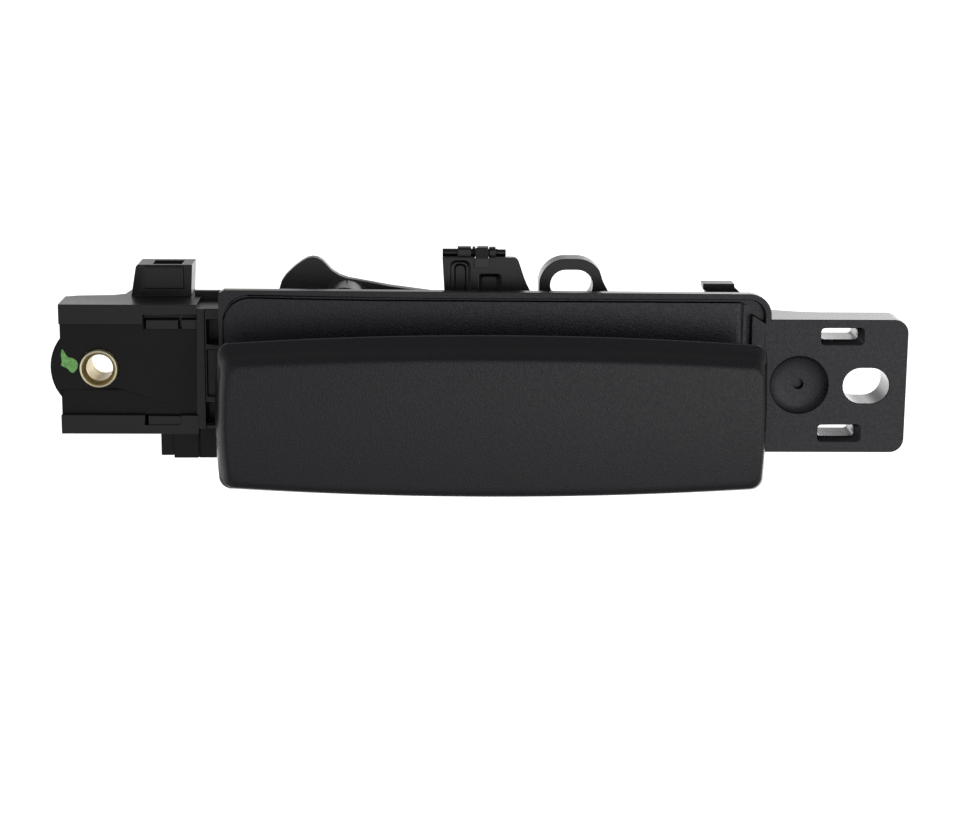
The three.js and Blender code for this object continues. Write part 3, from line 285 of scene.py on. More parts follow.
def rubber():
    m = Mat("moulded_rubber", (0.014, 0.014, 0.0145), 0.75, ior=1.48)
    dust = m.noise(700, 4, 0.6)
    m.color(m.mix(m.span(dust, 0.5, 0.8, 0, 1), (0.013, 0.013, 0.0135), (0.030, 0.029, 0.028)))
    m.rough(m.span(dust, 0.3, 0.7, 0.68, 0.86))
    m.normal(m.bump(m.noise(4200, 2), 0.3, 0.00004))
    return m.m


def zinc():
    m = Mat("die_cast_zinc", (0.38, 0.39, 0.41), 0.42, 1.0)
    cast = m.noise(900, 4, 0.65)
    m.color(m.mix(m.span(cast, 0.35, 0.7, 0, 1), (0.42, 0.43, 0.45), (0.29, 0.30, 0.32)))
    m.rough(m.span(cast, 0.3, 0.7, 0.36, 0.56))
    m.normal(m.bump(cast, 0.2, 0.00005))
    return m.m


def marking_paint():
    m = Mat("inspection_paint", (0.13, 0.36, 0.09), 0.42)
    thick = m.noise(900, 3, 0.55)
    m.color(m.mix(m.span(thick, 0.3, 0.72, 0, 1), (0.150, 0.430, 0.095), (0.330, 0.740, 0.230)))
    m.rough(m.span(thick, 0.3, 0.7, 0.34, 0.55))
    m.normal(m.bump(m.noise(1500, 3), 0.3, 0.00005))
    return m.m


M = {
    "textured_black": textured_black("textured_black", 0.42, 1.0),
    "smooth_black": smooth_black("smooth_black", (0.0062, 0.0062, 0.0068), 0.30, 0.40),
    "crank_black": glass_filled(),
    "brass": brass(),
    "plated_steel": steel("zinc_plated_steel", (0.58, 0.59, 0.60), 0.22, 0.34),
    "spring_steel": steel("oiled_spring_steel", (0.33, 0.335, 0.35), 0.22, 0.36),
    "dark_steel": steel("black_passivated_steel", (0.050, 0.050, 0.055), 0.28, 0.40),
    "acetal": acetal(),
    "rubber": rubber(),
    "zinc": zinc(),
}
# the bezel: the same textured black with its front colours raised 1.6 times, painted light for the stronger light it
# gets
BEZEL_PAINTED_LIGHTER = textured_black("textured_black_bezel_painted_lighter", 0.40, 1.6)
DARK_SPRING = steel("blued_spring_steel", (0.055, 0.055, 0.062), 0.26, 0.38)
# a darker, less reflective copy of the smooth black: painted shade for the carrier's recessed faces
RECESS_PAINTED_SHADE = smooth_black("smooth_black_recess_painted_shade", (0.0048, 0.0048, 0.0056), 0.36, 0.46)
RECESS_PAINTED_SHADE.node_tree.nodes["Principled BSDF"].inputs["Specular IOR Level"].default_value = 0.27
PAINT = marking_paint()
SLOT = {s["node"]: s["material_slot"] for s in frame["record"]["subparts"]}
BODY = {n: b for b, ns in frame["record"]["behaviour"]["bodies"].items() for n in ns}


# ---------------------------------------------------------------- mesh tools
def finish_piece(ob, node, mat=None, slot=None, body=None):
    ob.data.materials.clear()
    ob.data.materials.append(mat or M[slot or SLOT[node]])
    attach(ob, body or BODY[node])
    if node:
        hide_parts(node)
    return ob


def baked(ob):
    """The object's mesh with its modifiers applied."""
    dg = bpy.context.evaluated_depsgraph_get()
    me = bpy.data.meshes.new_from_object(ob.evaluated_get(dg))
    ob.modifiers.clear()
    ob.data = me
    me.name = ob.name
    return ob


def mesh_object(name, verts, faces):
    me = bpy.data.meshes.new(name)
    me.from_pydata([tuple(c * MM for c in v) for v in verts], [], faces)
    me.validate()
    ob = bpy.data.objects.new(name, me)
    scene.collection.objects.link(ob)
    bm = bmesh.new()
    bm.from_mesh(me)
    bmesh.ops.remove_doubles(bm, verts=bm.verts, dist=1e-7)
    bmesh.ops.recalc_face_normals(bm, faces=bm.faces)
    bm.to_mesh(me)
    bm.free()
    return ob


def shade(ob, angle=35.0, weighted=True):
    me = ob.data
    if "custom_normal" in me.attributes:
        me.attributes.remove(me.attributes["custom_normal"])
    me.polygons.foreach_set("use_smooth", [True] * len(me.polygons))
    bm = bmesh.new()
    bm.from_mesh(me)
    for e in bm.edges:
        e.smooth = not (len(e.link_faces) == 2 and e.calc_face_angle(0.0) > math.radians(angle))
    bm.to_mesh(me)
    bm.free()
    if weighted:
        w = ob.modifiers.new("weighted", "WEIGHTED_NORMAL")
        w.keep_sharp = True
        w.weight = 60
        baked(ob)
    return ob


def from_cad(node, name):
    """A copy of a CAD node's mesh with coplanar triangles joined, for rounding its edges."""
    bm = bmesh.new()
    bm.from_mesh(NODES[node].data)
    bmesh.ops.remove_doubles(bm, verts=bm.verts, dist=3e-6)
    bmesh.ops.dissolve_degenerate(bm, edges=bm.edges, dist=3e-6)
    bmesh.ops.dissolve_limit(
        bm, angle_limit=math.radians(0.7), use_dissolve_boundaries=False,
        verts=bm.verts, edges=bm.edges, delimit=set(),
    )
    me = bpy.data.meshes.new(name)
    bm.to_mesh(me)
    bm.free()
    ob = bpy.data.objects.new(name, me)
    scene.collection.objects.link(ob)
    return ob


def patches(me):
    """For each face: its largest triangle (area, middle), and the area of all its triangles."""
    me.calc_loop_triangles()
    mid, total = {}, {}
    for t in me.loop_triangles:
        k = t.polygon_index
        total[k] = total.get(k, 0.0) + t.area
        if t.area > mid.get(k, (0.0, None))[0]:
            mid[k] = (t.area, sum((me.vertices[i].co for i in t.vertices), Vector()) / 3)
    return mid, total


def rounded(node, name, width, segments=2, angle=32.0, mat=None, crisp=None):
    """The CAD node with its edges rounded to width millimetres, except where crisp says otherwise."""
    ob = from_cad(node, name)
    me = ob.data
    me.polygons.foreach_set("use_smooth", [True] * len(me.polygons))
    bm = bmesh.new()
    bm.from_mesh(me)
    for e in bm.edges:
        e.smooth = not (len(e.link_faces) == 2 and e.calc_face_angle(0.0) > math.radians(angle))
    # short edges, and those short of room where four or more edges meet, stay crisp
    weight = bm.edges.layers.float.new("bevel_weight_edge")
    for e in bm.edges:
        crowded = any(sum(not k.smooth for k in v.link_edges) > 3 for v in e.verts)
        room = (12.0 if crowded else 1.4) * width * MM
        e[weight] = 0.0 if e.smooth or e.calc_length() < room else 1.0
        if crisp and crisp((e.verts[0].co + e.verts[1].co) / (2 * MM)):
            e[weight] = 0.0
    # so do both sides of a strip too narrow for two bevels
    for f in bm.faces:
        es = [e for e in f.edges if e[weight] > 0.0]
        for i, e in enumerate(es):
            p, d = e.verts[0].co, (e.verts[1].co - e.verts[0].co)
            ln = d.length
            d = d / ln
            for k in es[i + 1:]:
                if set(k.verts) & set(e.verts):
                    continue
                a, c = k.verts[0].co - p, k.verts[1].co - p
                if abs((c - a).normalized().dot(d)) < 0.98:
                    continue
                ta, tc = sorted((a.dot(d), c.dot(d)))
                if min(tc, ln) - max(ta, 0.0) < 0.0001:
                    continue
                if (a - d * a.dot(d)).length < 2.3 * width * MM:
                    e[weight] = 0.0
                    k[weight] = 0.0
    bm.to_mesh(me)
    bm.free()
    src = me
    src_tree = BVHTree.FromPolygons([v.co for v in src.vertices], [p.vertices[:] for p in src.polygons])
    bm = bmesh.new()
    bm.from_mesh(NODES[node].data)
    tree = BVHTree.FromBMesh(bm)
    bm.free()
    for attempt in range(5):
        ob.data = src.copy()
        b = ob.modifiers.new("bevel", "BEVEL")
        b.limit_method = "WEIGHT"
        b.offset_type = "OFFSET"
        b.width = width * MM
        b.segments = segments
        b.profile = 0.5
        b.use_clamp_overlap = False
        b.loop_slide = False
        b.miter_outer = "MITER_SHARP"
        b.miter_inner = "MITER_SHARP"
        b.harden_normals = True
        baked(ob)
        me = ob.data
        nor = [c.vector.copy() for c in me.corner_normals]
        # corners thrown off the surface where short edges meet go back to the nearest point on it
        for v in me.vertices:
            at, _, _, d = tree.find_nearest(v.co)
            if at is not None and d > 0.55 * width * MM:
                v.co = at
        # and broad flat faces are made truly flat again
        mid, _ = patches(me)
        flat = []
        for f in me.polygons:
            if f.area < 2e-6 or f.index not in mid:
                continue
            if max(nor[k].angle(f.normal, 0.0) for k in f.loop_indices) > math.radians(3.5):
                continue
            at, n, _, d = tree.find_nearest(mid[f.index][1])
            if at is None or d > 0.0004 or n.dot(f.normal) < 0.985:
                continue
            flat.append((f.area, f.index, at, n.normalized()))
        for _, k, at, n in sorted(flat, key=lambda q: q[0]):
            f = me.polygons[k]
            for q in f.vertices:
                v = me.vertices[q]
                off = (v.co - at).dot(n)
                if abs(off) < 0.0004:
                    v.co = v.co - n * off
            for q in f.loop_indices:
                nor[q] = n
        for v in me.vertices:
            for q in range(3):
                v.co[q] = min(max(v.co[q], CAD_BOX[0][q]), CAD_BOX[1][q])
        me.update()
        # a face whose outline crosses itself has no clean filling: its edges are left crisp and it is made again
        mid, total = patches(me)
        bad = [f for f in me.polygons if f.index in mid and f.normal.y > 0.5 and abs(total[f.index] - f.area) > 0.8e-6]
        print("rounded %s: pass %d, %d faces crossed" % (node, attempt, len(bad)))
        if not bad or attempt == 4:
            break
        weights = src.attributes["bevel_weight_edge"].data
        for f in bad:
            _, _, k, _ = src_tree.find_nearest(mid[f.index][1])
            for q in src.polygons[k].loop_indices:
                weights[src.loops[q].edge_index].value = 0.0
    me.normals_split_custom_set([tuple(n) for n in nor])
    return finish_piece(ob, node, mat)


def lathe(name, node, profile, axis, at, n=96, closed=True, mat=None):
    """Profile of [radius, position along the axis] turned about an axis through at (the other two coordinates)."""
    verts, rows = [], []
    for r, h in profile:
        if r <= 1e-6:
            rows.append([len(verts)])
            verts.append((h, at[0], at[1]) if axis == "X" else (at[0], h, at[1]))
            continue
        rows.append(list(range(len(verts), len(verts) + n)))
        for i in range(n):
            t = 2 * math.pi * i / n
            a, c = r * math.cos(t), r * math.sin(t)
            verts.append((h, at[0] + a, at[1] + c) if axis == "X" else (at[0] + a, h, at[1] + c))
    faces = []
    pairs = list(zip(rows, rows[1:] + rows[:1])) if closed else list(zip(rows, rows[1:]))
    for p, q in pairs:
        for i in range(n):
            j = (i + 1) % n
            quad = [p[i % len(p)], p[j % len(p)], q[j % len(q)], q[i % len(q)]]
            quad = [v for k, v in enumerate(quad) if v not in quad[:k]]
            if len(quad) > 2:
                faces.append(quad)
    ob = mesh_object(name, verts, faces)
    shade(ob, 38)
    return finish_piece(ob, node, mat)


def soft(profile, r, n=4):
    """The open profile with each inner corner rounded to radius r."""
    out = [profile[0]]
    for a, b, c in zip(profile, profile[1:], profile[2:]):
        va, vc = Vector(a) - Vector(b), Vector(c) - Vector(b)
        d = min(r, va.length * 0.45, vc.length * 0.45)
        if d < 1e-4:
            out.append(b)
            continue
        p, q, b2 = Vector(b) + va.normalized() * d, Vector(b) + vc.normalized() * d, Vector(b)
        for k in range(n + 1):
            t = k / n
            v = (1 - t) ** 2 * p + 2 * t * (1 - t) * b2 + t * t * q
            out.append((v.x, v.y))
    out.append(profile[-1])
    return out


def tube(name, node, points, radius, sides=14, per=5, mat=None):
    """Round wire along a smooth curve through the points, with flat capped ends."""
    pts = [Vector(p) for p in points]
    ext = [pts[0] * 2 - pts[1]] + pts + [pts[-1] * 2 - pts[-2]]
    path = []
    for i in range(1, len(ext) - 2):
        p0, p1, p2, p3 = ext[i - 1:i + 3]
        t0 = 0.0
        t1 = t0 + max((p1 - p0).length, 1e-6) ** 0.5
        t2 = t1 + max((p2 - p1).length, 1e-6) ** 0.5
        t3 = t2 + max((p3 - p2).length, 1e-6) ** 0.5
        for k in range(per):
            t = t1 + (t2 - t1) * k / per
            a1 = p0 * ((t1 - t) / (t1 - t0)) + p1 * ((t - t0) / (t1 - t0))
            a2 = p1 * ((t2 - t) / (t2 - t1)) + p2 * ((t - t1) / (t2 - t1))
            a3 = p2 * ((t3 - t) / (t3 - t2)) + p3 * ((t - t2) / (t3 - t2))
            b1 = a1 * ((t2 - t) / (t2 - t0)) + a2 * ((t - t0) / (t2 - t0))
            b2 = a2 * ((t3 - t) / (t3 - t1)) + a3 * ((t - t1) / (t3 - t1))
            path.append(b1 * ((t2 - t) / (t2 - t1)) + b2 * ((t - t1) / (t2 - t1)))
    path.append(pts[-1])
    tang = [(path[min(i + 1, len(path) - 1)] - path[max(i - 1, 0)]).normalized() for i in range(len(path))]
    nrm = tang[0].orthogonal().normalized()
    verts, rings = [], []
    for i, (p, t) in enumerate(zip(path, tang)):
        nrm = (nrm - t * nrm.dot(t)).normalized()
        bi = t.cross(nrm)
        rings.append(len(verts))
        for k in range(sides):
            a = 2 * math.pi * k / sides
            verts.append(p + (nrm * math.cos(a) + bi * math.sin(a)) * radius)
    faces = []
    for r0, r1 in zip(rings, rings[1:]):
        for k in range(sides):
            j = (k + 1) % sides
            faces.append([r0 + k, r0 + j, r1 + j, r1 + k])
    for r0, mid in ((rings[0], path[0]), (rings[-1], path[-1])):
        c = len(verts)
        verts.append(mid)
        for k in range(sides):
            faces.append([r0 + k, r0 + (k + 1) % sides, c])
    ob = mesh_object(name, verts, faces)
    shade(ob, 50, False)
    return finish_piece(ob, node, mat)


def helix(centre, axis, r, a0, turns, h0, h1, steps=16):
    n = round(abs(turns) * steps)
    out = []
    for i in range(n + 1):
        a = a0 + 2 * math.pi * turns * i / n
        h = h0 + (h1 - h0) * i / n
        c, d = centre[0] + r * math.cos(a), centre[1] + r * math.sin(a)
        out.append((h, c, d) if axis == "X" else (c, h, d))
    return out


# ---------------------------------------------------------------- mouldings and turned parts
rounded("bezel", "bezel_moulding", 0.22, mat=BEZEL_PAINTED_LIGHTER)
carrier = rounded("carrier", "carrier_moulding", 0.18, angle=24.0, crisp=lambda c: c.y > -7.0 and c.z < 16.2)
carrier.data.materials.append(RECESS_PAINTED_SHADE)
# faces of the bracket's recessed panel and the low faces under it take the darker copy, painted shade
for poly in carrier.data.polygons:
    c = poly.center / MM
    if (c.x < 24.2 and -11.6 < c.z < 11.1 and -11.3 < c.y < -10.4) or (c.x < 29 and c.z < -16.4 and c.y < -10.0):
        poly.material_index = 1
rounded("paddle_backing", "paddle_backing_moulding", 0.2)
rounded("bell_crank", "bell_crank_moulding", 0.3)
for node, width in (
    ("rod_clip", 0.14), ("impact_lever", 0.14), ("pin_retainer_left", 0.04), ("pin_retainer_right", 0.04),
    ("bell_crank_clip", 0.06), ("paddle_screw_left", 0.07), ("paddle_screw_right", 0.07),
    ("case_screw_1", 0.08), ("case_screw_2", 0.08), ("case_screw_3", 0.08), ("case_screw_4", 0.08),
):
    rounded(node, node + "_finished", width)

# brass sleeve: rolled lip, countersink, bore
lathe("mounting_sleeve_turned", "mounting_sleeve", soft([
    (4.0, 0.0), (3.4, 0.0), (3.25, -0.4), (3.25, -10.75), (3.5, -11.1), (3.86, -11.95), (3.98, -12.4), (4.16, -12.66),
    (4.42, -12.7), (4.63, -12.5), (4.65, -12.1), (4.65, -0.25), (4.4, 0.0), (4.0, 0.0)], 0.16, 5), "Y", (0.0, 0.0), 128)
for side, x in (("left", 36.6), ("right", 155.2)):
    lathe("bump_stop_%s_moulded" % side, "bump_stop_" + side, soft([
        (0, -26.2), (1.6, -26.2), (2.3, -25.9), (2.6, -25.2), (2.6, -23.6), (1.2, -23.6), (1.2, -21.0), (0, -21.0)], 0.25),
        "Y", (x, -9.5), 72, False)
lathe("hinge_pin_left_turned", "hinge_pin_left", soft([
    (0, 38.6), (2.5, 38.6), (2.5, 39.7), (1.5, 39.7), (1.5, 60.4), (0, 60.4)], 0.15), "X", (-15.0, 5.3), 72, False)
lathe("hinge_pin_right_turned", "hinge_pin_right", soft([
    (0, 131.6), (1.5, 131.6), (1.5, 152.3), (2.5, 152.3), (2.5, 153.4), (0, 153.4)], 0.15), "X", (-15.0, 5.3), 72, False)
for side, x0, x1 in (("left", 43.9, 48.7), ("right", 143.3, 148.1)):
    lathe("hinge_bush_%s_moulded" % side, "hinge_bush_" + side, soft([
        (2.1, x0), (2.55, x0), (2.55, x1), (1.7, x1), (1.7, x0), (2.1, x0)], 0.12), "X", (-15.0, 5.3), 72)
lathe("bell_crank_pin_turned", "bell_crank_pin", soft([
    (0, -18.3), (2.0, -18.3), (2.0, 5.6), (1.5, 5.6), (1.5, 6.3), (2.0, 6.3), (2.0, 7.2), (0, 7.2)], 0.15), "Y", (60.7, 15.8), 72, False)
lathe("bell_crank_washer_pressed", "bell_crank_washer", soft([
    (3.2, 4.7), (4.3, 4.7), (4.3, 5.3), (2.2, 5.3), (2.2, 4.7), (3.2, 4.7)], 0.1), "Y", (60.7, 15.8), 72)
lathe("counterweight_cast", "counterweight", soft([
    (2.4, 97.5), (3.1, 97.5), (3.1, 102.4), (1.8, 102.4), (1.8, 97.5), (2.4, 97.5)], 0.3), "X", (-4.4, 22.6), 72)
lathe("cross_pin_turned", "cross_pin", soft([
    (0, 84.0), (1.0, 84.0), (1.0, 97.4), (0.86, 97.4), (0.86, 99.4), (0, 99.4)], 0.12), "X", (-10.4, 28.8), 64, False)

# springs
tube("paddle_return_spring_wound", "paddle_return_spring",
     [(50.1, -24.4, 0.4), (50.1, -21, 1.65)] + helix((-15.0, 5.3), "X", 2.75, -math.pi / 2, 4.5, 50.1, 55.2)
     + [(55.2, -18.4, 8.2), (55.2, -20.6, 8.2)], 0.42, 16, 4)
tube("bell_crank_spring_wound", "bell_crank_spring",
     [(69.3, 0.95, 12.4), (65.7, 0.95, 12.6)] + helix((60.7, 15.8), "Y", 3.1, -math.pi / 2, -3.5, 0.95, 4.0)
     + [(64.9, 4.0, 18.6), (70.2, 4.0, 16.4)], 0.38, 16, 4)
tube("impact_lever_spring_wound", "impact_lever_spring",
     [(91.28, -9.4, 23.75), (91.28, -9.8, 26.45)] + helix((-10.4, 28.8), "X", 1.45, -math.pi / 2, -1.5, 91.28, 91.86)
     + [(91.86, -8.2, 29.5), (91.86, -5.2, 27.9)], 0.17, 12, 4, mat=DARK_SPRING)


# ---------------------------------------------------------------- paddle shell
PX, PZ = (30.6 + 160.5) / 2, -6.2


def face_y(x, z):
    return -42.7 + 0.8 * ((x - PX) / 65) ** 2 + 1.0 * ((z - PZ) / 17) ** 2


def paddle_ring(xl, xr, zt, ztm, zb, zbm, r, n=64, m=18, q=12):
    """Outline [x, z] with arched long sides and bowed ends."""
    c, h, zc, hz = (xl + xr) / 2, (xr - xl) / 2, (zt + zb) / 2, (zt - zb) / 2
    top = lambda x: zt + (ztm - zt) * (1 - ((x - c) / h) ** 2)
    bot = lambda x: zb + (zbm - zb) * (1 - ((x - c) / h) ** 2)
    left = lambda z: xl + 0.9 * ((z - zc) / hz) ** 2
    rgt = lambda z: xr - 0.5 * ((z - zc) / hz) ** 2
    arc = lambda cx, cz, a0, a1: [
        (cx + r * math.cos(math.radians(a0 + (a1 - a0) * i / q)), cz + r * math.sin(math.radians(a0 + (a1 - a0) * i / q)))
        for i in range(q + 1)]
    out = [(xl + r + (xr - xl - 2 * r) * i / n, bot(xl + r + (xr - xl - 2 * r) * i / n)) for i in range(n + 1)]
    bz, tz = bot(xr - r), top(xr - r)
    out += arc(rgt(bz + r) - r, bz + r, -90, 0)[1:]
    for i in range(1, m):
        z = bz + r + (tz - bz - 2 * r) * i / m
        out.append((rgt(z), z))
    out += arc(rgt(tz - r) - r, tz - r, 0, 90)
    for i in range(1, n + 1):
        x = xr - r - (xr - xl - 2 * r) * i / n
        out.append((x, top(x)))
    lb, lt = bot(xl + r), top(xl + r)
    out += arc(left(lt - r) + r, lt - r, 90, 180)[1:]
    for i in range(1, m):
        z = lt - r - (lt - lb - 2 * r) * i / m
        out.append((left(z), z))
    out += arc(left(lb + r) + r, lb + r, 180, 270)[:q]
    return out


def paddle_shell():
    # xl, xr, zt, ztm, zb, zbm, r, fixed y or distance behind the face
    P = [
        (31.5, 159.7, 10.4, 12.7, -22.85, -24.9, 2.6, -33.6, None),
        (30.6, 160.5, 11.0, 13.3, -23.55, -25.65, 3.0, -36.8, None),
        (30.75, 160.4, 10.7, 13.0, -23.45, -25.55, 3.0, -37.5, None),
        (31.3, 160.1, 9.0, 11.0, -23.15, -25.2, 3.0, None, 2.6),
        (32.1, 159.6, 7.5, 9.4, -22.5, -24.55, 3.0, None, 0.95),
        (33.1, 159.0, 6.2, 8.2, -21.4, -23.4, 3.0, None, 0.12),
        (34.4, 158.0, 4.6, 6.6, -19.9, -21.8, 2.8, None, 0.0),
    ]
    key = []
    for *dims, y, back in P:
        key.append([(x, y if back is None else face_y(x, z) + back, z) for x, z in paddle_ring(*dims)])
    n = len(key[0])
    rings = []
    for k in range(len(key) - 1):
        steps = 1 if k == 0 else 5
        for t in range(steps):
            u = t / steps
            ring = []
            for i in range(n):
                p = [Vector(key[min(max(k + d, 1 if k else 0), len(key) - 1)][i]) for d in (-1, 0, 1, 2)]
                if k == 0:
                    ring.append(p[1].lerp(p[2], u))
                    continue
                m1, m2 = (p[2] - p[0]) * 0.5, (p[3] - p[1]) * 0.5
                h00, h10, h01, h11 = 2*u**3 - 3*u**2 + 1, u**3 - 2*u**2 + u, -2*u**3 + 3*u**2, u**3 - u**2
                v = p[1] * h00 + m1 * h10 + p[2] * h01 + m2 * h11
                v.x = min(max(v.x, 30.6), 160.5)
                v.z = min(max(v.z, -25.65), 13.3)
                ring.append(v)
            rings.append(ring)
    inner = [Vector(v) for v in key[-1]]
    rings.append(inner)
    for k in (0.9, 0.8, 0.7, 0.6, 0.5, 0.4, 0.3, 0.2, 0.1, 0.03):
        ring = []
        for v in inner:
            a, b = PX + (v.x - PX) * (k + 0.15 * (1 - k)), PZ + (v.z - PZ) * k
            ring.append(Vector((a, face_y(a, b), b)))
        rings.append(ring)
    hollow = [
        (33.7, 157.5, 8.2, 10.4, -20.5, -22.4, 1.6, -33.6),
        (33.5, 157.7, 8.4, 10.6, -20.7, -22.6, 1.6, -36.6),
        (33.9, 157.4, 7.2, 9.4, -20.4, -22.3, 1.6, -38.6),
        (34.6, 156.8, 5.8, 7.8, -19.8, -21.7, 1.6, -39.4),
    ]
    back = [[Vector((x, y, z)) for x, z in paddle_ring(*dims)] for *dims, y in hollow]
    seq = list(reversed(back)) + rings
    verts = [v for r in seq for v in r]
    faces = []
    for k in range(len(seq) - 1):
        for i in range(n):
            j = (i + 1) % n
            faces.append([k * n + i, k * n + j, (k + 1) * n + j, (k + 1) * n + i])
    c0 = len(verts)
    verts.append(Vector((PX, -39.4, PZ)))
    c1 = len(verts)
    verts.append(Vector((PX, face_y(PX, PZ), PZ)))
    top = (len(seq) - 1) * n
    for i in range(n):
        j = (i + 1) % n
        faces.append([c0, j, i])
        faces.append([c1, top + i, top + j])
    # screw bosses standing on the floor of the hollow
    for x in (62.0, 129.0):
        prof = [(1.3, -39.6), (1.3, -37.1), (1.5, -36.9), (2.4, -36.9), (2.6, -37.1), (2.6, -39.2), (2.9, -39.6)]
        s0, q = len(verts), 40
        for r, y in prof:
            for i in range(q):
                t = 2 * math.pi * i / q
                verts.append(Vector((x + r * math.cos(t), y, -7.0 + r * math.sin(t))))
        for a in range(len(prof)):
            b = (a + 1) % len(prof)
            for i in range(q):
                j = (i + 1) % q
                faces.append([s0 + a * q + i, s0 + a * q + j, s0 + b * q + j, s0 + b * q + i])
    ob = mesh_object("paddle_shell_moulding", verts, faces)
    shade(ob, 30)
    return finish_piece(ob, "paddle_shell")


paddle_shell()


# ---------------------------------------------------------------- inspection mark
def paint_mark():
    """A brushed dab on the recess floor beside the sleeve: thin, domed, with an uneven edge."""
    edge = [(-8.95, 4.70), (-8.60, 4.25), (-8.15, 3.35), (-7.51, 2.50), (-6.85, 2.55), (-6.05, 2.25), (-5.45, 1.65),
            (-5.22, 1.00), (-5.35, -0.05), (-5.85, -0.75), (-6.55, -1.38), (-7.20, -0.95), (-7.75, -0.30), (-8.45, 0.15),
            (-9.05, 0.35), (-9.42, 0.72), (-9.10, 1.35), (-9.25, 2.30), (-9.35, 3.20), (-9.20, 4.20)]
    for _ in range(2):
        nxt = []
        for a, b in zip(edge, edge[1:] + edge[:1]):
            nxt += [(a[0] * 0.75 + b[0] * 0.25, a[1] * 0.75 + b[1] * 0.25), (a[0] * 0.25 + b[0] * 0.75, a[1] * 0.25 + b[1] * 0.75)]
        edge = nxt
    n = len(edge)
    cx, cz = sum(p[0] for p in edge) / n, sum(p[1] for p in edge) / n
    verts, faces = [], []
    rows = ((1.0, -10.86), (1.0, -10.93), (0.97, -10.975), (0.90, -11.00), (0.75, -11.015), (0.5, -11.02), (0.25, -11.02))
    for k, y in rows:
        for x, z in edge:
            verts.append((cx + (x - cx) * k, y, cz + (z - cz) * k))
    for a in range(len(rows) - 1):
        for i in range(n):
            j = (i + 1) % n
            faces.append([a * n + i, a * n + j, (a + 1) * n + j, (a + 1) * n + i])
    verts += [(cx, -10.86, cz), (cx, -11.02, cz)]
    for i in range(n):
        j = (i + 1) % n
        faces.append([n * len(rows), j, i])
        faces.append([n * len(rows) + 1, (len(rows) - 1) * n + i, (len(rows) - 1) * n + j])
    ob = mesh_object("inspection_mark", verts, faces)
    shade(ob, 50, False)
    ob.data.materials.append(PAINT)
    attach(ob, "housing")
    return ob


paint_mark()

# ---------------------------------------------------------------- lights and floor
world = bpy.data.worlds.new("studio")
scene.world = world
world.use_nodes = True
wt = world.node_tree
wt.nodes.clear()
wout = wt.nodes.new("ShaderNodeOutputWorld")
bg_see = wt.nodes.new("ShaderNodeBackground")
bg_see.inputs["Color"].default_value = (1, 1, 1, 1)
bg_see.inputs["Strength"].default_value = 1.05
bg_lit = wt.nodes.new("ShaderNodeBackground")
path = wt.nodes.new("ShaderNodeLightPath")
mixs = wt.nodes.new("ShaderNodeMixShader")
wt.links.new(path.outputs["Is Camera Ray"], mixs.inputs[0])
wt.links.new(bg_lit.outputs[0], mixs.inputs[1])
wt.links.new(bg_see.outputs[0], mixs.inputs[2])
wt.links.new(mixs.outputs[0], wout.inputs[0])
wcoord = wt.nodes.new("ShaderNodeTexCoord")


def lobe(direction, inner, outer, amount):
    """A soft patch of sky: full within inner degrees of direction, gone by outer degrees."""
    d = Vector(direction).normalized()
    dot = wt.nodes.new("ShaderNodeVectorMath")
    dot.operation = "DOT_PRODUCT"
    dot.inputs[1].default_value = d
    wt.links.new(wcoord.outputs["Generated"], dot.inputs[0])
    r = wt.nodes.new("ShaderNodeMapRange")
    r.interpolation_type = "SMOOTHSTEP"
    r.inputs["From Min"].default_value = math.cos(math.radians(outer))
    r.inputs["From Max"].default_value = math.cos(math.radians(inner))
    r.inputs["To Min"].default_value = 0.0
    r.inputs["To Max"].default_value = amount
    wt.links.new(dot.outputs["Value"], r.inputs["Value"])
    return r.outputs["Result"]


total = None


def toward(azimuth, elevation):
    """Direction from azimuth (degrees, 0 = into the door, positive to the right) and elevation."""
    a, e = math.radians(azimuth), math.radians(elevation)
    return (math.sin(a) * math.cos(e), math.cos(a) * math.cos(e), math.sin(e))


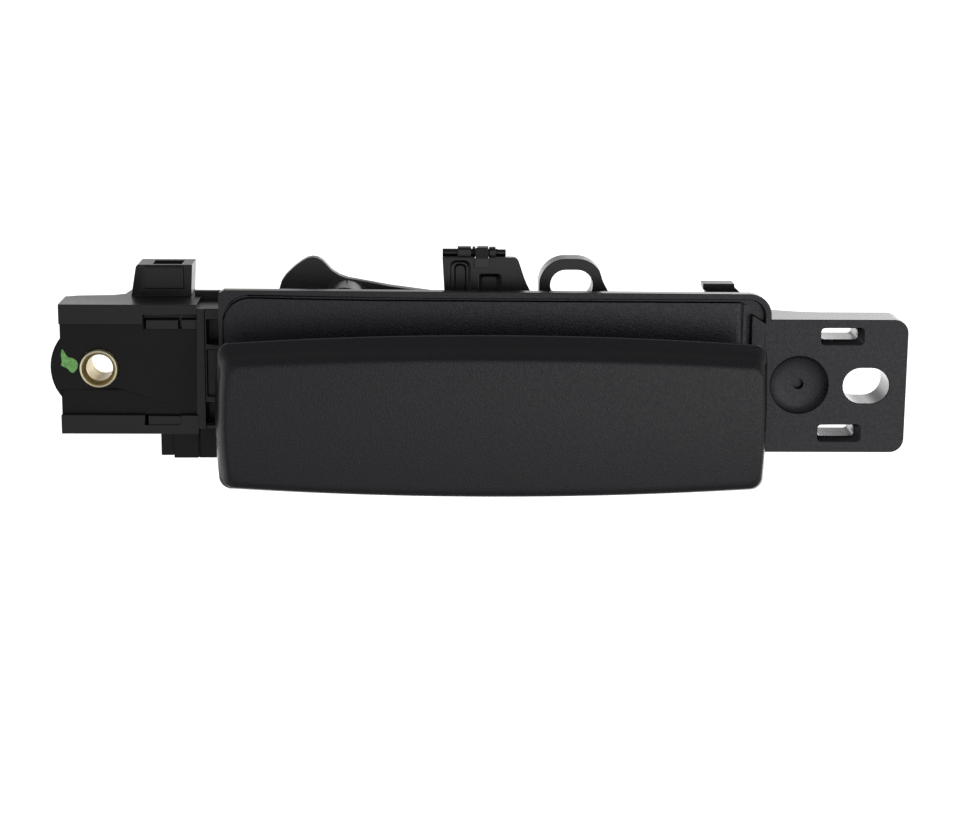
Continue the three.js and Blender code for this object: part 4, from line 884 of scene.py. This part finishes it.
BASE = 0.27
LOBES = (
    (toward(-34, 12), 12, 34, 0.20),    # back, left half
    (toward(-3, 12), 6, 22, 0.60),      # back, middle
    (toward(24, 12), 10, 26, 1.38),     # back, right half, nearer the lamp
    (toward(0, 48), 12, 36, 0.30),      # back, high
    (toward(-15, -12), 8, 24, 2.20),    # bench behind, left
    (toward(15, -12), 8, 24, 2.00),     # bench behind, right
    (toward(-90, -5), 20, 55, 0.95),    # left wall
    (toward(90, -5), 20, 55, 0.60),     # right wall
    (toward(205, 0), 8, 30, 0.05),      # front, left
    (toward(178, -2), 6, 26, 0.34),     # front, middle
    (toward(156, 0), 8, 28, 1.95),      # front, right
    (toward(168, 24), 8, 28, 0.05),     # front, high
    (toward(172, -36), 10, 36, 0.30),   # front, low
    (toward(0, 90), 20, 55, 0.02),      # overhead
)
for args in LOBES:
    v = lobe(*args)
    if total is None:
        total = v
    else:
        a = wt.nodes.new("ShaderNodeMath")
        a.operation = "ADD"
        wt.links.new(total, a.inputs[0])
        wt.links.new(v, a.inputs[1])
        total = a.outputs[0]
a = wt.nodes.new("ShaderNodeMath")
a.operation = "ADD"
wt.links.new(total, a.inputs[0])
a.inputs[1].default_value = BASE
wt.links.new(a.outputs[0], bg_lit.inputs["Strength"])

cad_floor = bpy.data.meshes.new("floor")
S = 30.0
Z = -0.09
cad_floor.from_pydata([(-S, -S, Z), (S, -S, Z), (S, S, Z), (-S, S, Z)], [], [(0, 1, 2, 3)])
floor = bpy.data.objects.new("floor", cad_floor)
scene.collection.objects.link(floor)
fm = bpy.data.materials.new("floor_white")
fm.use_nodes = True
ft = fm.node_tree
ft.nodes.clear()
fo = ft.nodes.new("ShaderNodeOutputMaterial")
fd = ft.nodes.new("ShaderNodeBsdfDiffuse")
fd.inputs["Color"].default_value = (0.85, 0.85, 0.85, 1)
fe = ft.nodes.new("ShaderNodeEmission")
fe.inputs["Strength"].default_value = 1.0
fa = ft.nodes.new("ShaderNodeAddShader")
ft.links.new(fd.outputs[0], fa.inputs[0])
ft.links.new(fe.outputs[0], fa.inputs[1])
ft.links.new(fa.outputs[0], fo.inputs[0])
floor.visible_glossy = False
floor.visible_diffuse = False
floor.data.materials.append(fm)
